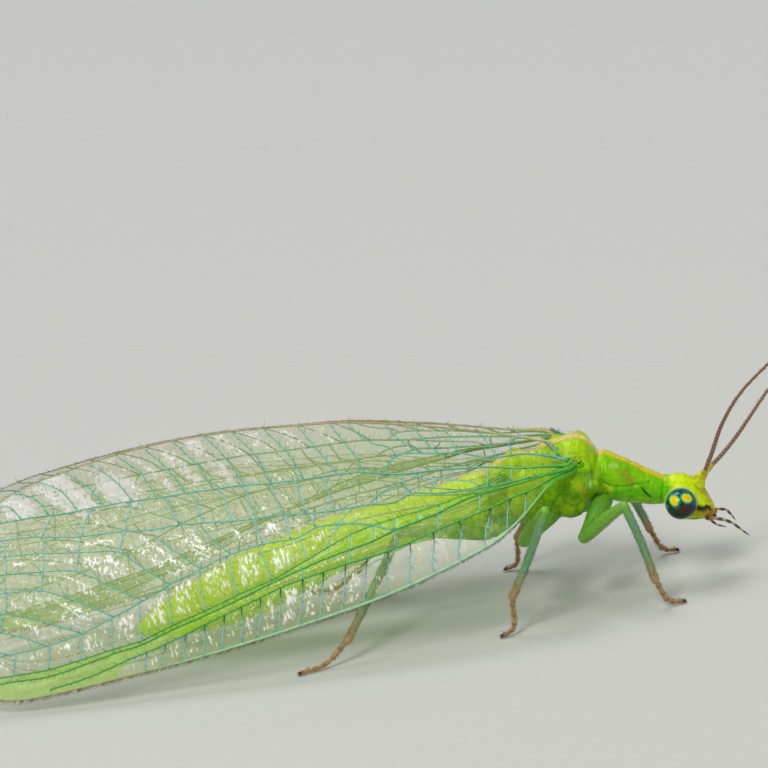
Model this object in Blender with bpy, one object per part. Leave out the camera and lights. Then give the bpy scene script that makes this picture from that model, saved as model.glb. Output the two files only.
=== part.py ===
"""Green lacewing at rest, life size, with its wings folded like a roof over the abdomen.

Lengths below are millimetres. X runs towards the head, the animal's right side is -Y, and the
floor is Z = 0. Each sub-part is one closed solid, and every part grows from its neighbour
across one small gap.
"""

import math

import bmesh
import bpy
import numpy as np
from mathutils import Vector

MM = 0.001

# Driving dimensions
GAP = 0.25
WING_LENGTH = 14.13
WING_THICKNESS = 0.5
WING_TIP_THICKNESS = 0.3
WING_THINS_FROM = 12.6
VEIN_HALF_WIDTH = 0.11
VEIN_HEIGHT = 0.12
VEIN_ROOM = 0.35
RIM_WIDTHS = 1.5
LEG_RADIUS = 0.25
TARSUS_RADIUS = 0.19
FOOT_CENTRE_HEIGHT = 0.12
ANTENNA_BASE_RADIUS = 0.25
ANTENNA_TIP_RADIUS = 0.1
ANTENNA_LENGTH = 12.5
EYE_RADIUS = 0.33
EYE_X = 2.0
EYE_Z = 1.79
EYE_INNER_FACE = 0.5
EYE_CENTRE_Y = 0.46
EYE_SIDES = 16
EYE_RINGS = 6
EYE_POLE_LATITUDE = math.radians(80)
HEAD_HALF_WIDTH_AT_EYE = EYE_INNER_FACE - GAP + 0.03

# The trunk from neck to tail: X, top Z, bottom Z and half width at each station
TRUNK = (
    (1.56, 2.26, 1.70, 0.30),
    (1.42, 2.41, 1.71, 0.37),
    (1.04, 2.70, 1.80, 0.44),
    (0.66, 2.97, 1.90, 0.50),
    (0.44, 3.14, 2.00, 0.56),
    (0.20, 3.42, 2.05, 0.66),
    (-0.05, 3.50, 1.95, 0.75),
    (-0.40, 3.46, 1.80, 0.78),
    (-0.80, 3.40, 1.72, 0.78),
    (-1.20, 3.33, 1.72, 0.74),
    (-1.60, 3.22, 1.80, 0.62),
    (-2.00, 3.08, 1.95, 0.50),
    (-2.60, 2.93, 1.92, 0.45),
    (-3.50, 2.76, 1.72, 0.45),
    (-4.40, 2.63, 1.52, 0.46),
    (-5.30, 2.53, 1.28, 0.50),
    (-6.20, 2.33, 0.94, 0.55),
    (-7.00, 2.12, 0.68, 0.56),
    (-7.70, 1.92, 0.50, 0.52),
    (-8.40, 1.62, 0.42, 0.45),
    (-9.10, 1.30, 0.42, 0.36),
    (-9.60, 1.00, 0.46, 0.26),
    (-9.95, 0.78, 0.54, 0.12),
)
NECK_X = 1.56
PRONOTUM_REAR_X = 0.50
MESOTHORAX_REAR_X = -0.80
METATHORAX_REAR_X = -1.90
ABDOMEN_TIP_X = -9.95
ABDOMEN_SEGMENTS = 9
SEGMENT_GROOVE = 0.05
SEGMENT_SHOULDERS = (0.2, 0.8)
END_SCALE = 0.9
TRUNK_SIDES = 16

# The head from nape to mouth: top X, top Z, bottom X, bottom Z and half width of each section
HEAD = (
    (1.80, 2.22, 1.78, 1.78, 0.17),
    (1.90, 2.31, 1.79, 1.52, 0.24),
    (2.08, 2.31, 1.86, 1.32, HEAD_HALF_WIDTH_AT_EYE),
    (2.26, 2.20, 1.97, 1.20, HEAD_HALF_WIDTH_AT_EYE),
    (2.40, 2.00, 2.12, 1.15, HEAD_HALF_WIDTH_AT_EYE),
    (2.53, 1.80, 2.28, 1.13, 0.27),
    (2.63, 1.60, 2.43, 1.13, 0.23),
    (2.69, 1.43, 2.55, 1.16, 0.17),
    (2.69, 1.34, 2.62, 1.21, 0.09),
)

# Rounded plates that swell out of the core of a part: X, distance from the midline, Z, and the
# half lengths along X, Y and Z
HEAD_LOBES = (
    (1.98, 0.13, 2.16, 0.15, 0.14, 0.18),
    (2.36, 0.13, 2.00, 0.12, 0.12, 0.13),
    (2.50, 0.16, 1.36, 0.16, 0.13, 0.18),
)
PROTHORAX_LOBES = (
    (0.82, 0.24, 2.58, 0.27, 0.31, 0.27),
    (1.24, 0.20, 2.33, 0.22, 0.26, 0.25),
    (0.80, 0.27, 2.08, 0.28, 0.24, 0.21),
    (1.28, 0.20, 1.95, 0.20, 0.21, 0.20),
)
MESOTHORAX_LOBES = (
    (0.00, 0.30, 3.10, 0.24, 0.31, 0.39),
    (-0.40, 0.32, 3.08, 0.25, 0.33, 0.39),
    (-0.64, 0.00, 3.25, 0.16, 0.24, 0.22),
    (-0.21, 0.62, 2.57, 0.26, 0.26, 0.27),
    (-0.28, 0.50, 2.10, 0.30, 0.27, 0.27),
    (-0.62, 0.52, 2.50, 0.18, 0.30, 0.34),
)
METATHORAX_LOBES = (
    (-1.36, 0.28, 2.98, 0.28, 0.29, 0.35),
    (-1.38, 0.46, 2.38, 0.30, 0.29, 0.34),
    (-1.64, 0.00, 3.04, 0.18, 0.24, 0.20),
)
LOBE_SIDES = 10
LOBE_RINGS = 6
LOBE_POLE_SHARE = 0.9

# A palp's joints: X, distance from the midline, Z and radius
MAXILLARY_PALP = (
    (2.50, 0.16, 1.34, 0.17),
    (2.82, 0.30, 1.22, 0.15),
    (3.06, 0.34, 1.06, 0.13),
    (3.29, 0.34, 0.80, 0.07),
)
LABIAL_PALP = (
    (2.36, 0.12, 1.26, 0.15),
    (2.60, 0.20, 1.06, 0.11),
    (2.80, 0.22, 0.98, 0.07),
)

# The forewing in its own frame: distance along the axis from its root, then the value there
WING_ROOT = Vector((0.04, 0.0, 3.26))
WING_DECLINE = math.radians(7.0)
WING_BELOW_AXIS = ((0.0, 0.25), (0.75, 0.30), (1.32, 0.60), (1.87, 0.84), (2.85, 1.03), (4.2, 1.22),
                   (6.4, 1.36), (8.7, 1.46), (12.0, 1.46), (WING_LENGTH, 1.46))
WING_ABOVE_AXIS = ((0.0, 0.25), (0.3, 0.40), (0.62, 0.54), (1.45, 0.72), (2.44, 1.05), (3.44, 1.38),
                   (4.45, 1.68), (5.5, 1.91), (7.6, 2.28), (9.75, 2.39), (11.0, 2.34),
                   (WING_LENGTH, 2.34))
COSTAL_EDGE_Y = ((0.0, 1.25), (0.75, 1.55), (1.32, 1.90), (1.87, 2.15), (2.85, 2.45), (4.2, 2.65),
                 (9.8, 2.65), (12.0, 2.50), (13.1, 2.25), (WING_LENGTH, 1.60))
HIND_EDGE_Y = ((0.0, 1.25), (0.3, 1.02), (0.62, 0.80), (1.45, 0.48), (2.44, 0.34), (10.5, 0.34),
               (11.5, 0.42), (12.5, 0.72), (13.4, 1.15), (WING_LENGTH, 1.60))
WING_BULGE = ((0.0, 0.05), (1.5, 0.20), (4.0, 0.30), (10.0, 0.30), (13.0, 0.15), (WING_LENGTH, 0.05))
COSTAL_TIP_START = 11.8
HIND_TIP_START = 11.0
LAST_TIP_SHARE = 0.99
WING_ROOT_STATIONS = (0.0, 0.35, 0.75)
WING_TIP_STATIONS = (11.35, 11.8, 12.3, 12.75, 13.15, 13.5, 13.8, 14.0, WING_LENGTH)
CROSSVEIN_FIRST = 1.25
CROSSVEIN_LAST = 10.75
CROSSVEIN_COUNT = 8
CROSSVEIN_HEIGHT = 0.09

# Main veins as shares of the chord from the costal edge, by distance along the wing
SUBCOSTA = ((0.0, 0.12), (1.55, 0.23), (2.74, 0.25), (3.85, 0.238), (5.85, 0.22), (8.6, 0.123),
            (10.7, 0.05), (WING_LENGTH, 0.05))
RADIUS = ((0.0, 0.28), (1.3, 0.31), (2.34, 0.37), (4.1, 0.333), (5.8, 0.292), (8.5, 0.175),
          (10.5, 0.11), (WING_LENGTH, 0.13))
RADIAL_SECTOR = ((0.0, 0.36), (1.3, 0.38), (2.7, 0.42), (4.7, 0.425), (5.7, 0.45), (6.8, 0.445),
                 (8.2, 0.387), (9.6, 0.32), (10.4, 0.26), (WING_LENGTH, 0.26))
SECTOR_BRANCH = ((0.0, 0.42), (1.3, 0.42), (2.7, 0.45), (4.7, 0.47), (6.8, 0.50), (8.2, 0.48),
                 (9.2, 0.40), (9.8, 0.40), (10.8, 0.50), (12.3, 0.52), (WING_LENGTH, 0.42))
MEDIAL_LINE = ((0.0, 0.50), (2.0, 0.48), (2.7, 0.49), (3.5, 0.52), (5.75, 0.545), (7.0, 0.57),
               (8.8, 0.62), (11.0, 0.66), (12.3, 0.68), (WING_LENGTH, 0.58))
CUBITAL_LINE = ((0.0, 0.66), (1.2, 0.60), (2.4, 0.653), (4.5, 0.71), (6.9, 0.738), (8.65, 0.759),
                (10.5, 0.79), (WING_LENGTH, 0.76))
ANAL_LINE = ((0.0, 0.80), (1.14, 0.73), (3.0, 0.82), (4.5, 0.84), (8.0, 0.87), (WING_LENGTH, 0.90))

# Each vein with the stretch of the wing along which it stands up
FOREWING_VEINS = (
    (SUBCOSTA, 0.0, WING_LENGTH),
    (RADIUS, 0.0, WING_LENGTH),
    (RADIAL_SECTOR, 0.0, WING_LENGTH),
    (SECTOR_BRANCH, 9.3, WING_LENGTH),
    (MEDIAL_LINE, 0.0, WING_LENGTH),
    (CUBITAL_LINE, 0.0, WING_LENGTH),
    (ANAL_LINE, 0.3, 4.6),
)
VEIN_RISE = 0.4

# Which veins the crossveins of a row join, counted from the costal edge (0) to the hind edge (8)
CROSSVEIN_SPANS = (
    ((0, 1), (2, 3), (5, 6)),
    ((0, 1), (3, 5), (6, 8)),
    ((0, 1), (2, 3), (5, 6), (6, 8)),
)

# The hindwing lies one thickness and one gap inside the forewing and is measured on it
HINDWING_ROOT_S = 2.1
HINDWING_TIP_S = 13.45
HINDWING_TIP_START = 11.3
HINDWING_TIP_SHARE = 0.42
HINDWING_COSTAL_SHARE = ((2.1, 0.38), (3.0, 0.30), (4.0, 0.24), (5.0, 0.19), (6.0, 0.13), (7.5, 0.08),
                         (9.5, 0.06), (WING_LENGTH, 0.06))
HINDWING_ROOT_HIND_SHARE = 0.62
HINDWING_STATIONS = 18
HINDWING_VEIN_SHARES = (0.14, 0.36, 0.70)
HINDWING_WIDEST_SHARE = 0.9
HINDWING_OPENS_OVER = 2.0
MIDLINE_CLEARANCE = 0.42
EDGE_SEARCH_STEP = 0.005

# Each leg's joints: X, distance from the midline, Z and radius, from coxa to foot
HIND_LEG = (
    (-1.72, 0.40, 1.40, 0.25), (-2.20, 0.62, 1.36, 0.25), (-3.95, 0.86, 1.98, LEG_RADIUS),
    (-5.30, 2.30, 0.48, 0.22), (-6.02, 2.60, FOOT_CENTRE_HEIGHT, TARSUS_RADIUS),
    (-6.40, 2.66, FOOT_CENTRE_HEIGHT, 0.15),
)
LEGS = {
    "leg_front_right": ((0.30, 0.42, 1.62, 0.25), (-0.12, 0.92, 1.52, 0.25), (0.86, 1.60, 2.27, LEG_RADIUS),
                        (1.25, 1.80, 0.62, 0.22), (1.50, 1.77, FOOT_CENTRE_HEIGHT, TARSUS_RADIUS),
                        (1.74, 1.72, FOOT_CENTRE_HEIGHT, 0.15)),
    "leg_front_left": ((0.30, 0.42, 1.62, 0.25), (-0.14, 0.90, 1.50, 0.25), (0.66, 1.32, 2.00, LEG_RADIUS),
                       (1.10, 1.70, 0.60, 0.22), (1.34, 1.72, FOOT_CENTRE_HEIGHT, TARSUS_RADIUS),
                       (1.58, 1.70, FOOT_CENTRE_HEIGHT, 0.15)),
    "leg_mid_right": ((-0.92, 0.45, 1.36, 0.25), (-1.42, 0.95, 1.42, 0.25), (-0.76, 2.02, 2.56, LEG_RADIUS),
                      (-1.74, 2.12, 0.82, 0.22), (-1.88, 2.14, FOOT_CENTRE_HEIGHT, TARSUS_RADIUS),
                      (-2.12, 2.20, FOOT_CENTRE_HEIGHT, 0.15)),
    "leg_mid_left": ((-0.92, 0.45, 1.36, 0.25), (-1.42, 0.95, 1.42, 0.25), (-0.84, 1.90, 2.20, LEG_RADIUS),
                     (-1.76, 2.12, 0.72, 0.22), (-1.92, 2.14, FOOT_CENTRE_HEIGHT, TARSUS_RADIUS),
                     (-2.16, 2.20, FOOT_CENTRE_HEIGHT, 0.15)),
    "leg_hind_right": HIND_LEG,
    "leg_hind_left": HIND_LEG,
}
LEG_SIDES = 8
SHARP_ANGLE = math.radians(40)
NORMAL_STEP = 0.02

# How far past its joint a rod's rounded end reaches, and how wide it is there, in radii
ROUND_SHIFT = 0.75
ROUND_SHARE = 0.55

# The two antennae differ in the pose: X, distance from the midline and Z along the shown part
ANTENNAE = {
    "right": ((2.53, 0.34, 2.26), (2.76, 0.42, 2.69), (3.11, 0.62, 3.40), (3.59, 0.88, 4.07),
              (4.26, 1.18, 4.70), (6.30, 2.05, 6.35), (8.90, 3.15, 7.90), (11.6, 4.30, 8.90)),
    "left": ((2.60, 0.34, 2.16), (2.95, 0.46, 2.40), (3.24, 0.62, 2.63), (3.63, 0.82, 3.00),
             (4.03, 1.05, 3.39), (6.40, 2.05, 4.90), (9.20, 3.15, 6.10), (12.0, 4.22, 6.80)),
}
ANTENNA_RINGS = 26
ANTENNA_SIDES = 8

SIDES = {"right": -1, "left": 1}
COLOURS = {
    "body_green": ((0.30, 0.55, 0.03, 1.0), 0.45),
    "head_yellow": ((0.55, 0.62, 0.05, 1.0), 0.40),
    "eye_metal": ((0.02, 0.10, 0.06, 1.0), 0.12),
    "antenna_brown": ((0.35, 0.22, 0.12, 1.0), 0.55),
    "leg_green": ((0.10, 0.35, 0.18, 1.0), 0.50),
    "wing_membrane": ((0.45, 0.62, 0.40, 1.0), 0.25),
}


def clear_scene():
    for thing in list(bpy.data.objects):
        bpy.data.objects.remove(thing, do_unlink=True)


def make_material(name):
    colour, roughness = COLOURS[name]
    material = bpy.data.materials.new(name)
    material.use_nodes = True
    shader = material.node_tree.nodes["Principled BSDF"]
    shader.inputs["Base Color"].default_value = colour
    shader.inputs["Roughness"].default_value = roughness
    shader.inputs["Metallic"].default_value = 0.0
    return material


def smooth_value(stations, position):
    """A cubic curve through the named stations, which rise or fall in their first value."""
    xs = [row[0] for row in stations]
    ys = [row[1] for row in stations]
    if xs[0] > xs[-1]:
        xs = xs[::-1]
        ys = ys[::-1]
    position = min(max(position, xs[0]), xs[-1])
    slopes = np.gradient(ys, xs)
    index = min(max(int(np.searchsorted(xs, position)) - 1, 0), len(xs) - 2)
    span = xs[index + 1] - xs[index]
    t = (position - xs[index]) / span
    start = (2 * t ** 3 - 3 * t ** 2 + 1) * ys[index] + (t ** 3 - 2 * t ** 2 + t) * span * slopes[index]
    end = (3 * t ** 2 - 2 * t ** 3) * ys[index + 1] + (t ** 3 - t ** 2) * span * slopes[index + 1]
    return float(start + end)


def make_object(name, vertices, faces, material):
    """A closed mesh object whose origin is at its first vertex."""
    origin = Vector(vertices[0])
    mesh = bpy.data.meshes.new(name)
    mesh.from_pydata([(Vector(v) - origin) * MM for v in vertices], [], faces)
    shell = bmesh.new()
    shell.from_mesh(mesh)
    bmesh.ops.recalc_face_normals(shell, faces=shell.faces)
    bmesh.ops.triangulate(shell, faces=[face for face in shell.faces if len(face.verts) > 4])
    shell.to_mesh(mesh)
    shell.free()
    mesh.materials.append(material)
    mesh.shade_smooth()
    mesh.set_sharp_from_angle(angle=SHARP_ANGLE)
    body = bpy.data.objects.new(name, mesh)
    body.location = origin * MM
    bpy.context.scene.collection.objects.link(body)
    return body


def loft_faces(rings, sides):
    """Quads between neighbouring rings and one flat cap at each end."""
    faces = []
    for ring in range(rings - 1):
        for side in range(sides):
            after = (side + 1) % sides
            faces.append((ring * sides + side, ring * sides + after,
                          (ring + 1) * sides + after, (ring + 1) * sides + side))
    faces.append(tuple(range(sides)))
    faces.append(tuple((rings - 1) * sides + side for side in range(sides)))
    return faces


def make_loft(name, rings, material):
    vertices = [point for ring in rings for point in ring]
    return make_object(name, vertices, loft_faces(len(rings), len(rings[0])), material)


def ellipse_ring(centre, across, up, half_width, half_height, sides):
    ring = []
    for side in range(sides):
        angle = 2 * math.pi * side / sides
        ring.append(centre + across * (half_width * math.cos(angle)) + up * (half_height * math.sin(angle)))
    return ring


def trunk_ring(x, scale=1.0):
    top = smooth_value([(row[0], row[1]) for row in TRUNK], x)
    bottom = smooth_value([(row[0], row[2]) for row in TRUNK], x)
    half_width = smooth_value([(row[0], row[3]) for row in TRUNK], x)
    centre = Vector((x, 0.0, (top + bottom) / 2))
    return ellipse_ring(centre, Vector((0, 1, 0)), Vector((0, 0, 1)), half_width * scale,
                        (top - bottom) / 2 * scale, TRUNK_SIDES)


def make_lobe(centre, half_lengths, material):
    rings = []
    for step in range(LOBE_RINGS):
        latitude = math.pi * (step / (LOBE_RINGS - 1) - 0.5) * LOBE_POLE_SHARE
        share = math.cos(latitude)
        rings.append(ellipse_ring(centre + Vector((half_lengths[0] * math.sin(latitude), 0, 0)),
                                  Vector((0, 1, 0)), Vector((0, 0, 1)), half_lengths[1] * share,
                                  half_lengths[2] * share, LOBE_SIDES))
    return make_loft("lobe", rings, material)


def make_lobes(table, material):
    """Every lobe of a part, on both sides unless it sits on the midline."""
    lobes = []
    for x, y, z, length, width, height in table:
        for side in (SIDES.values() if y > 0 else (1,)):
            lobes.append(make_lobe(Vector((x, side * y, z)), (length, width, height), material))
    return lobes


def make_trunk_piece(name, front_x, rear_x, rings, lobes, material):
    places = [front_x + (rear_x - front_x) * step / (rings - 1) for step in range(rings)]
    scales = [END_SCALE] + [1.0] * (rings - 2) + [END_SCALE]
    core = make_loft(name, [trunk_ring(x, scale) for x, scale in zip(places, scales)], material)
    return fuse(name, [core] + make_lobes(lobes, material))


def make_abdomen(material):
    """Nine segments, each full in its middle and drawn in at its border."""
    front_x = METATHORAX_REAR_X - GAP
    length = front_x - ABDOMEN_TIP_X
    profile = [(share, 1.0) for share in SEGMENT_SHOULDERS] + [(1.0, 1.0 - SEGMENT_GROOVE)]
    rings = [trunk_ring(front_x, END_SCALE)]
    for segment in range(ABDOMEN_SEGMENTS):
        for share, scale in profile:
            rings.append(trunk_ring(front_x - length * (segment + share) / ABDOMEN_SEGMENTS, scale))
    return make_loft("abdomen", rings, material)


def capsule_rings(start, end, start_radius, end_radius, sides):
    """Rings of one tapered rod with a rounded end at each joint."""
    axis = (end - start).normalized()
    across = axis.orthogonal().normalized()
    up = axis.cross(across)
    rings = []
    for joint, radius, shift, share in ((start, start_radius, -ROUND_SHIFT, ROUND_SHARE),
                                        (start, start_radius, 0.0, 1.0),
                                        (end, end_radius, 0.0, 1.0),
                                        (end, end_radius, ROUND_SHIFT, ROUND_SHARE)):
        rings.append(ellipse_ring(joint + axis * (shift * radius), across, up,
                                  share * radius, share * radius, sides))
    return rings


def keep_on_floor(rings):
    return [[Vector((point.x, point.y, max(point.z, 0.0))) for point in ring] for ring in rings]


def make_rods(name, joints, side, sides, material):
    """One rod for each pair of neighbouring joints."""
    rods = []
    for index in range(len(joints) - 1):
        start = Vector((joints[index][0], side * joints[index][1], joints[index][2]))
        end = Vector((joints[index + 1][0], side * joints[index + 1][1], joints[index + 1][2]))
        rings = capsule_rings(start, end, joints[index][3], joints[index + 1][3], sides)
        rods.append(make_loft(f"{name}_rod_{index}", keep_on_floor(rings), material))
    return rods


def largest_shell(mesh):
    """Delete every closed surface but the one with the most faces."""
    shell = bmesh.new()
    shell.from_mesh(mesh)
    left = set(shell.faces)
    groups = []
    while left:
        group = {left.pop()}
        front = list(group)
        while front:
            face = front.pop()
            for edge in face.edges:
                for other in edge.link_faces:
                    if other in left:
                        left.remove(other)
                        group.add(other)
                        front.append(other)
        groups.append(group)
    groups.sort(key=len)
    for group in groups[:-1]:
        bmesh.ops.delete(shell, geom=list(group), context="FACES")
    bmesh.ops.triangulate(shell, faces=list(shell.faces))
    shell.to_mesh(mesh)
    shell.free()


def fuse(name, pieces):
    """Join the pieces by one Boolean union and keep the largest closed surface."""
    core = pieces[0]
    group = bpy.data.collections.new(name + "_pieces")
    for piece in pieces[1:]:
        bpy.context.scene.collection.objects.unlink(piece)
        group.objects.link(piece)
    bpy.context.scene.collection.children.link(group)
    union = core.modifiers.new("union", "BOOLEAN")
    union.operand_type = "COLLECTION"
    union.collection = group
    union.operation = "UNION"
    union.solver = "EXACT"
    bpy.context.view_layer.update()
    evaluated = core.evaluated_get(bpy.context.evaluated_depsgraph_get())
    fused = bpy.data.meshes.new_from_object(evaluated)
    core.modifiers.clear()
    core.data = fused
    largest_shell(fused)
    for piece in pieces[1:]:
        bpy.data.objects.remove(piece, do_unlink=True)
    bpy.data.collections.remove(group)
    core.name = name
    return core


def make_head(material):
    rings = []
    for top_x, top_z, bottom_x, bottom_z, half_width in HEAD:
        top = Vector((top_x, 0.0, top_z))
        bottom = Vector((bottom_x, 0.0, bottom_z))
        rings.append(ellipse_ring((top + bottom) / 2, Vector((0, 1, 0)), (top - bottom).normalized(),
                                  half_width, (top - bottom).length / 2, TRUNK_SIDES))
    pieces = [make_loft("head_core", rings, material)] + make_lobes(HEAD_LOBES, material)
    for side in SIDES.values():
        pieces += make_rods("maxillary", MAXILLARY_PALP, side, LEG_SIDES, material)
        pieces += make_rods("labial", LABIAL_PALP, side, LEG_SIDES, material)
    return fuse("head", pieces)


def make_eye(side_name, material):
    """A dome with its flat face towards the head."""
    side = SIDES[side_name]
    start = math.asin((EYE_INNER_FACE - EYE_CENTRE_Y) / EYE_RADIUS)
    rings = []
    for step in range(EYE_RINGS):
        latitude = start + (EYE_POLE_LATITUDE - start) * step / (EYE_RINGS - 1)
        centre = Vector((EYE_X, side * (EYE_CENTRE_Y + EYE_RADIUS * math.sin(latitude)), EYE_Z))
        radius = EYE_RADIUS * math.cos(latitude)
        rings.append(ellipse_ring(centre, Vector((1, 0, 0)), Vector((0, 0, 1)), radius, radius, EYE_SIDES))
    return make_loft("eye_" + side_name, rings, material)


def antenna_path(side_name):
    points = [np.array((x, SIDES[side_name] * y, z)) for x, y, z in ANTENNAE[side_name]]
    lengths = [0.0]
    for before, after in zip(points, points[1:]):
        lengths.append(lengths[-1] + float(np.linalg.norm(after - before)))
    tracks = [[(length, point[axis]) for length, point in zip(lengths, points)] for axis in range(3)]
    reach = min(lengths[-1], ANTENNA_LENGTH)
    places = [reach * step / (ANTENNA_RINGS - 1) for step in range(ANTENNA_RINGS)]
    return [Vector([smooth_value(track, place) for track in tracks]) for place in places]


def make_antenna(side_name, material):
    path = antenna_path(side_name)
    across = Vector((0, 1, 0))
    rings = []
    for index, point in enumerate(path):
        ahead = path[min(index + 1, len(path) - 1)] - path[max(index - 1, 0)]
        axis = ahead.normalized()
        up = axis.cross(across).normalized()
        across = up.cross(axis).normalized()
        share = index / (len(path) - 1)
        radius = ANTENNA_BASE_RADIUS + (ANTENNA_TIP_RADIUS - ANTENNA_BASE_RADIUS) * share
        rings.append(ellipse_ring(point, across, up, radius, radius, ANTENNA_SIDES))
    return make_loft("antenna_" + side_name, rings, material)


def tip_share(s, start, end, sharpness):
    """How much of the full width is left at a place near a wing's rounded tip."""
    if s <= start:
        return 1.0
    share = min((s - start) / (end - start), LAST_TIP_SHARE)
    return math.sqrt(1 - share ** sharpness)


def forewing_point(side, s, share):
    """A point of the forewing's middle surface, from its costal edge (0) to its hind edge (1)."""
    axis = Vector((-math.cos(WING_DECLINE), 0.0, -math.sin(WING_DECLINE)))
    up = Vector((-math.sin(WING_DECLINE), 0.0, math.cos(WING_DECLINE)))
    below = smooth_value(WING_BELOW_AXIS, s) * tip_share(s, COSTAL_TIP_START, WING_LENGTH, 3.0)
    above = smooth_value(WING_ABOVE_AXIS, s) * tip_share(s, HIND_TIP_START, WING_LENGTH, 2.0)
    costal = WING_ROOT + axis * s - up * below
    hind = WING_ROOT + axis * s + up * above
    costal.y = side * smooth_value(COSTAL_EDGE_Y, s)
    hind.y = side * smooth_value(HIND_EDGE_Y, s)
    chord = hind - costal
    outward = axis.cross(chord).normalized()
    outward *= side if outward.y > 0 else -side
    bulge = smooth_value(WING_BULGE, s)
    return costal + chord * share + outward * (bulge * 4 * share * (1 - share))


def forewing_normal(side, s, share):
    step = NORMAL_STEP
    ahead = forewing_point(side, min(s + step, WING_LENGTH), share)
    along = ahead - forewing_point(side, max(s - step, 0.0), share)
    across = forewing_point(side, s, share + step) - forewing_point(side, s, share - step)
    normal = along.cross(across).normalized()
    if normal.y * side < 0:
        normal = -normal
    return normal


def vein_lines(shares, heights, chord):
    """Chord shares and ridge heights of the grid lines: a foot, a crest and a foot for each vein."""
    wanted = VEIN_HALF_WIDTH / chord
    fences = [0.0] + list(shares) + [1.0]
    rim = min(RIM_WIDTHS * wanted, VEIN_ROOM * shares[0])
    lines = [[0.0, VEIN_HEIGHT], [rim, 0.0]]
    for index, share in enumerate(shares):
        room = min(fences[index + 1] - fences[index], fences[index + 2] - fences[index + 1])
        half = min(wanted, VEIN_ROOM * room)
        lines += [[share - half, 0.0], [share, heights[index] * half / wanted], [share + half, 0.0]]
    lines.append([1.0, 0.0])
    return lines


def raise_crossveins(lines, spans):
    """Lift the lines between the two veins of each span, which makes a crest across the wing."""
    for first, last in spans:
        for index in range(3 * first, min(3 * last + 1, len(lines) - 1)):
            lines[index][1] = max(lines[index][1], CROSSVEIN_HEIGHT)


def forewing_veins_at(s):
    """Each vein's chord share and how high it stands at one place along the wing."""
    shares = []
    heights = []
    for line, start, end in FOREWING_VEINS:
        shares.append(smooth_value(line, s))
        rising = 1.0 if start == 0.0 else (s - start) / VEIN_RISE
        falling = 1.0 if end == WING_LENGTH else (end - s) / VEIN_RISE
        heights.append(VEIN_HEIGHT * min(1.0, max(0.0, min(rising, falling))))
    return shares, heights


def forewing_rows():
    """Places along the wing with the crossveins that cross there; each crest has a foot on both sides."""
    rows = [(s, ()) for s in WING_ROOT_STATIONS]
    for index in range(CROSSVEIN_COUNT):
        crest = CROSSVEIN_FIRST + (CROSSVEIN_LAST - CROSSVEIN_FIRST) * index / (CROSSVEIN_COUNT - 1)
        spans = CROSSVEIN_SPANS[index % len(CROSSVEIN_SPANS)]
        rows += [(crest - VEIN_HALF_WIDTH, ()), (crest, spans), (crest + VEIN_HALF_WIDTH, ())]
    return rows + [(s, ()) for s in WING_TIP_STATIONS]


def station_places(start, end, count):
    """Places along a wing, closer together towards both ends."""
    places = []
    for step in range(count):
        share = step / (count - 1)
        eased = 0.5 * share + 0.25 * (1 - math.cos(math.pi * share))
        places.append(start + (end - start) * eased)
    return places


def make_plate(name, rows, material):
    """A closed plate from rows of (outer, inner) points, with both faces split alike."""
    across = len(rows[0])
    vertices = []
    for row in rows:
        vertices += [outer for outer, inner in row]
        vertices += [inner for outer, inner in row]
    width = 2 * across
    faces = []
    for row in range(len(rows) - 1):
        for column in range(across - 1):
            for layer in (0, across):
                a = row * width + layer + column
                b = a + width
                faces += [(a, b, b + 1), (a, b + 1, a + 1)]
        for column in (0, across - 1):
            a = row * width + column
            b = a + width
            faces += [(a, b, b + across), (a, b + across, a + across)]
    for row in (0, len(rows) - 1):
        for column in range(across - 1):
            a = row * width + column
            faces += [(a, a + 1, a + 1 + across), (a, a + 1 + across, a + across)]
    return make_object(name, vertices, faces, material)


def wing_thickness(s):
    thinning = max(0.0, (s - WING_THINS_FROM) / (WING_LENGTH - WING_THINS_FROM))
    return WING_THICKNESS + (WING_TIP_THICKNESS - WING_THICKNESS) * thinning


def beside_midline(point, side):
    """The same point, kept half a gap from the plane where the two wings meet."""
    return Vector((point.x, side * max(side * point.y, GAP / 2), point.z))


def make_forewing(side_name, material):
    side = SIDES[side_name]
    rows = []
    for s, spans in forewing_rows():
        chord = (forewing_point(side, s, 1.0) - forewing_point(side, s, 0.0)).length
        half = wing_thickness(s) / 2
        shares, heights = forewing_veins_at(s)
        lines = vein_lines(shares, heights, chord)
        raise_crossveins(lines, spans)
        row = []
        for share, height in lines:
            point = forewing_point(side, s, share)
            normal = forewing_normal(side, s, share)
            row.append((beside_midline(point + normal * (half + height), side),
                        beside_midline(point - normal * half, side)))
        rows.append(row)
    return make_plate("forewing_" + side_name, rows, material)


def hindwing_point(side, s, share):
    inward = WING_THICKNESS + GAP
    return forewing_point(side, s, share) - forewing_normal(side, s, share) * inward


def hindwing_edges(side, s):
    """Chord shares of the hindwing's costal and hind edges, kept clear of the midline."""
    hind = HINDWING_WIDEST_SHARE
    while abs(hindwing_point(side, s, hind).y) < MIDLINE_CLEARANCE and hind > HINDWING_TIP_SHARE:
        hind -= EDGE_SEARCH_STEP
    opening = min((s - HINDWING_ROOT_S) / HINDWING_OPENS_OVER, 1.0)
    hind = HINDWING_ROOT_HIND_SHARE + (hind - HINDWING_ROOT_HIND_SHARE) * opening
    costal = smooth_value(HINDWING_COSTAL_SHARE, s)
    kept = tip_share(s, HINDWING_TIP_START, HINDWING_TIP_S, 2.0)
    return (HINDWING_TIP_SHARE + (costal - HINDWING_TIP_SHARE) * kept,
            HINDWING_TIP_SHARE + (hind - HINDWING_TIP_SHARE) * kept)


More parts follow.
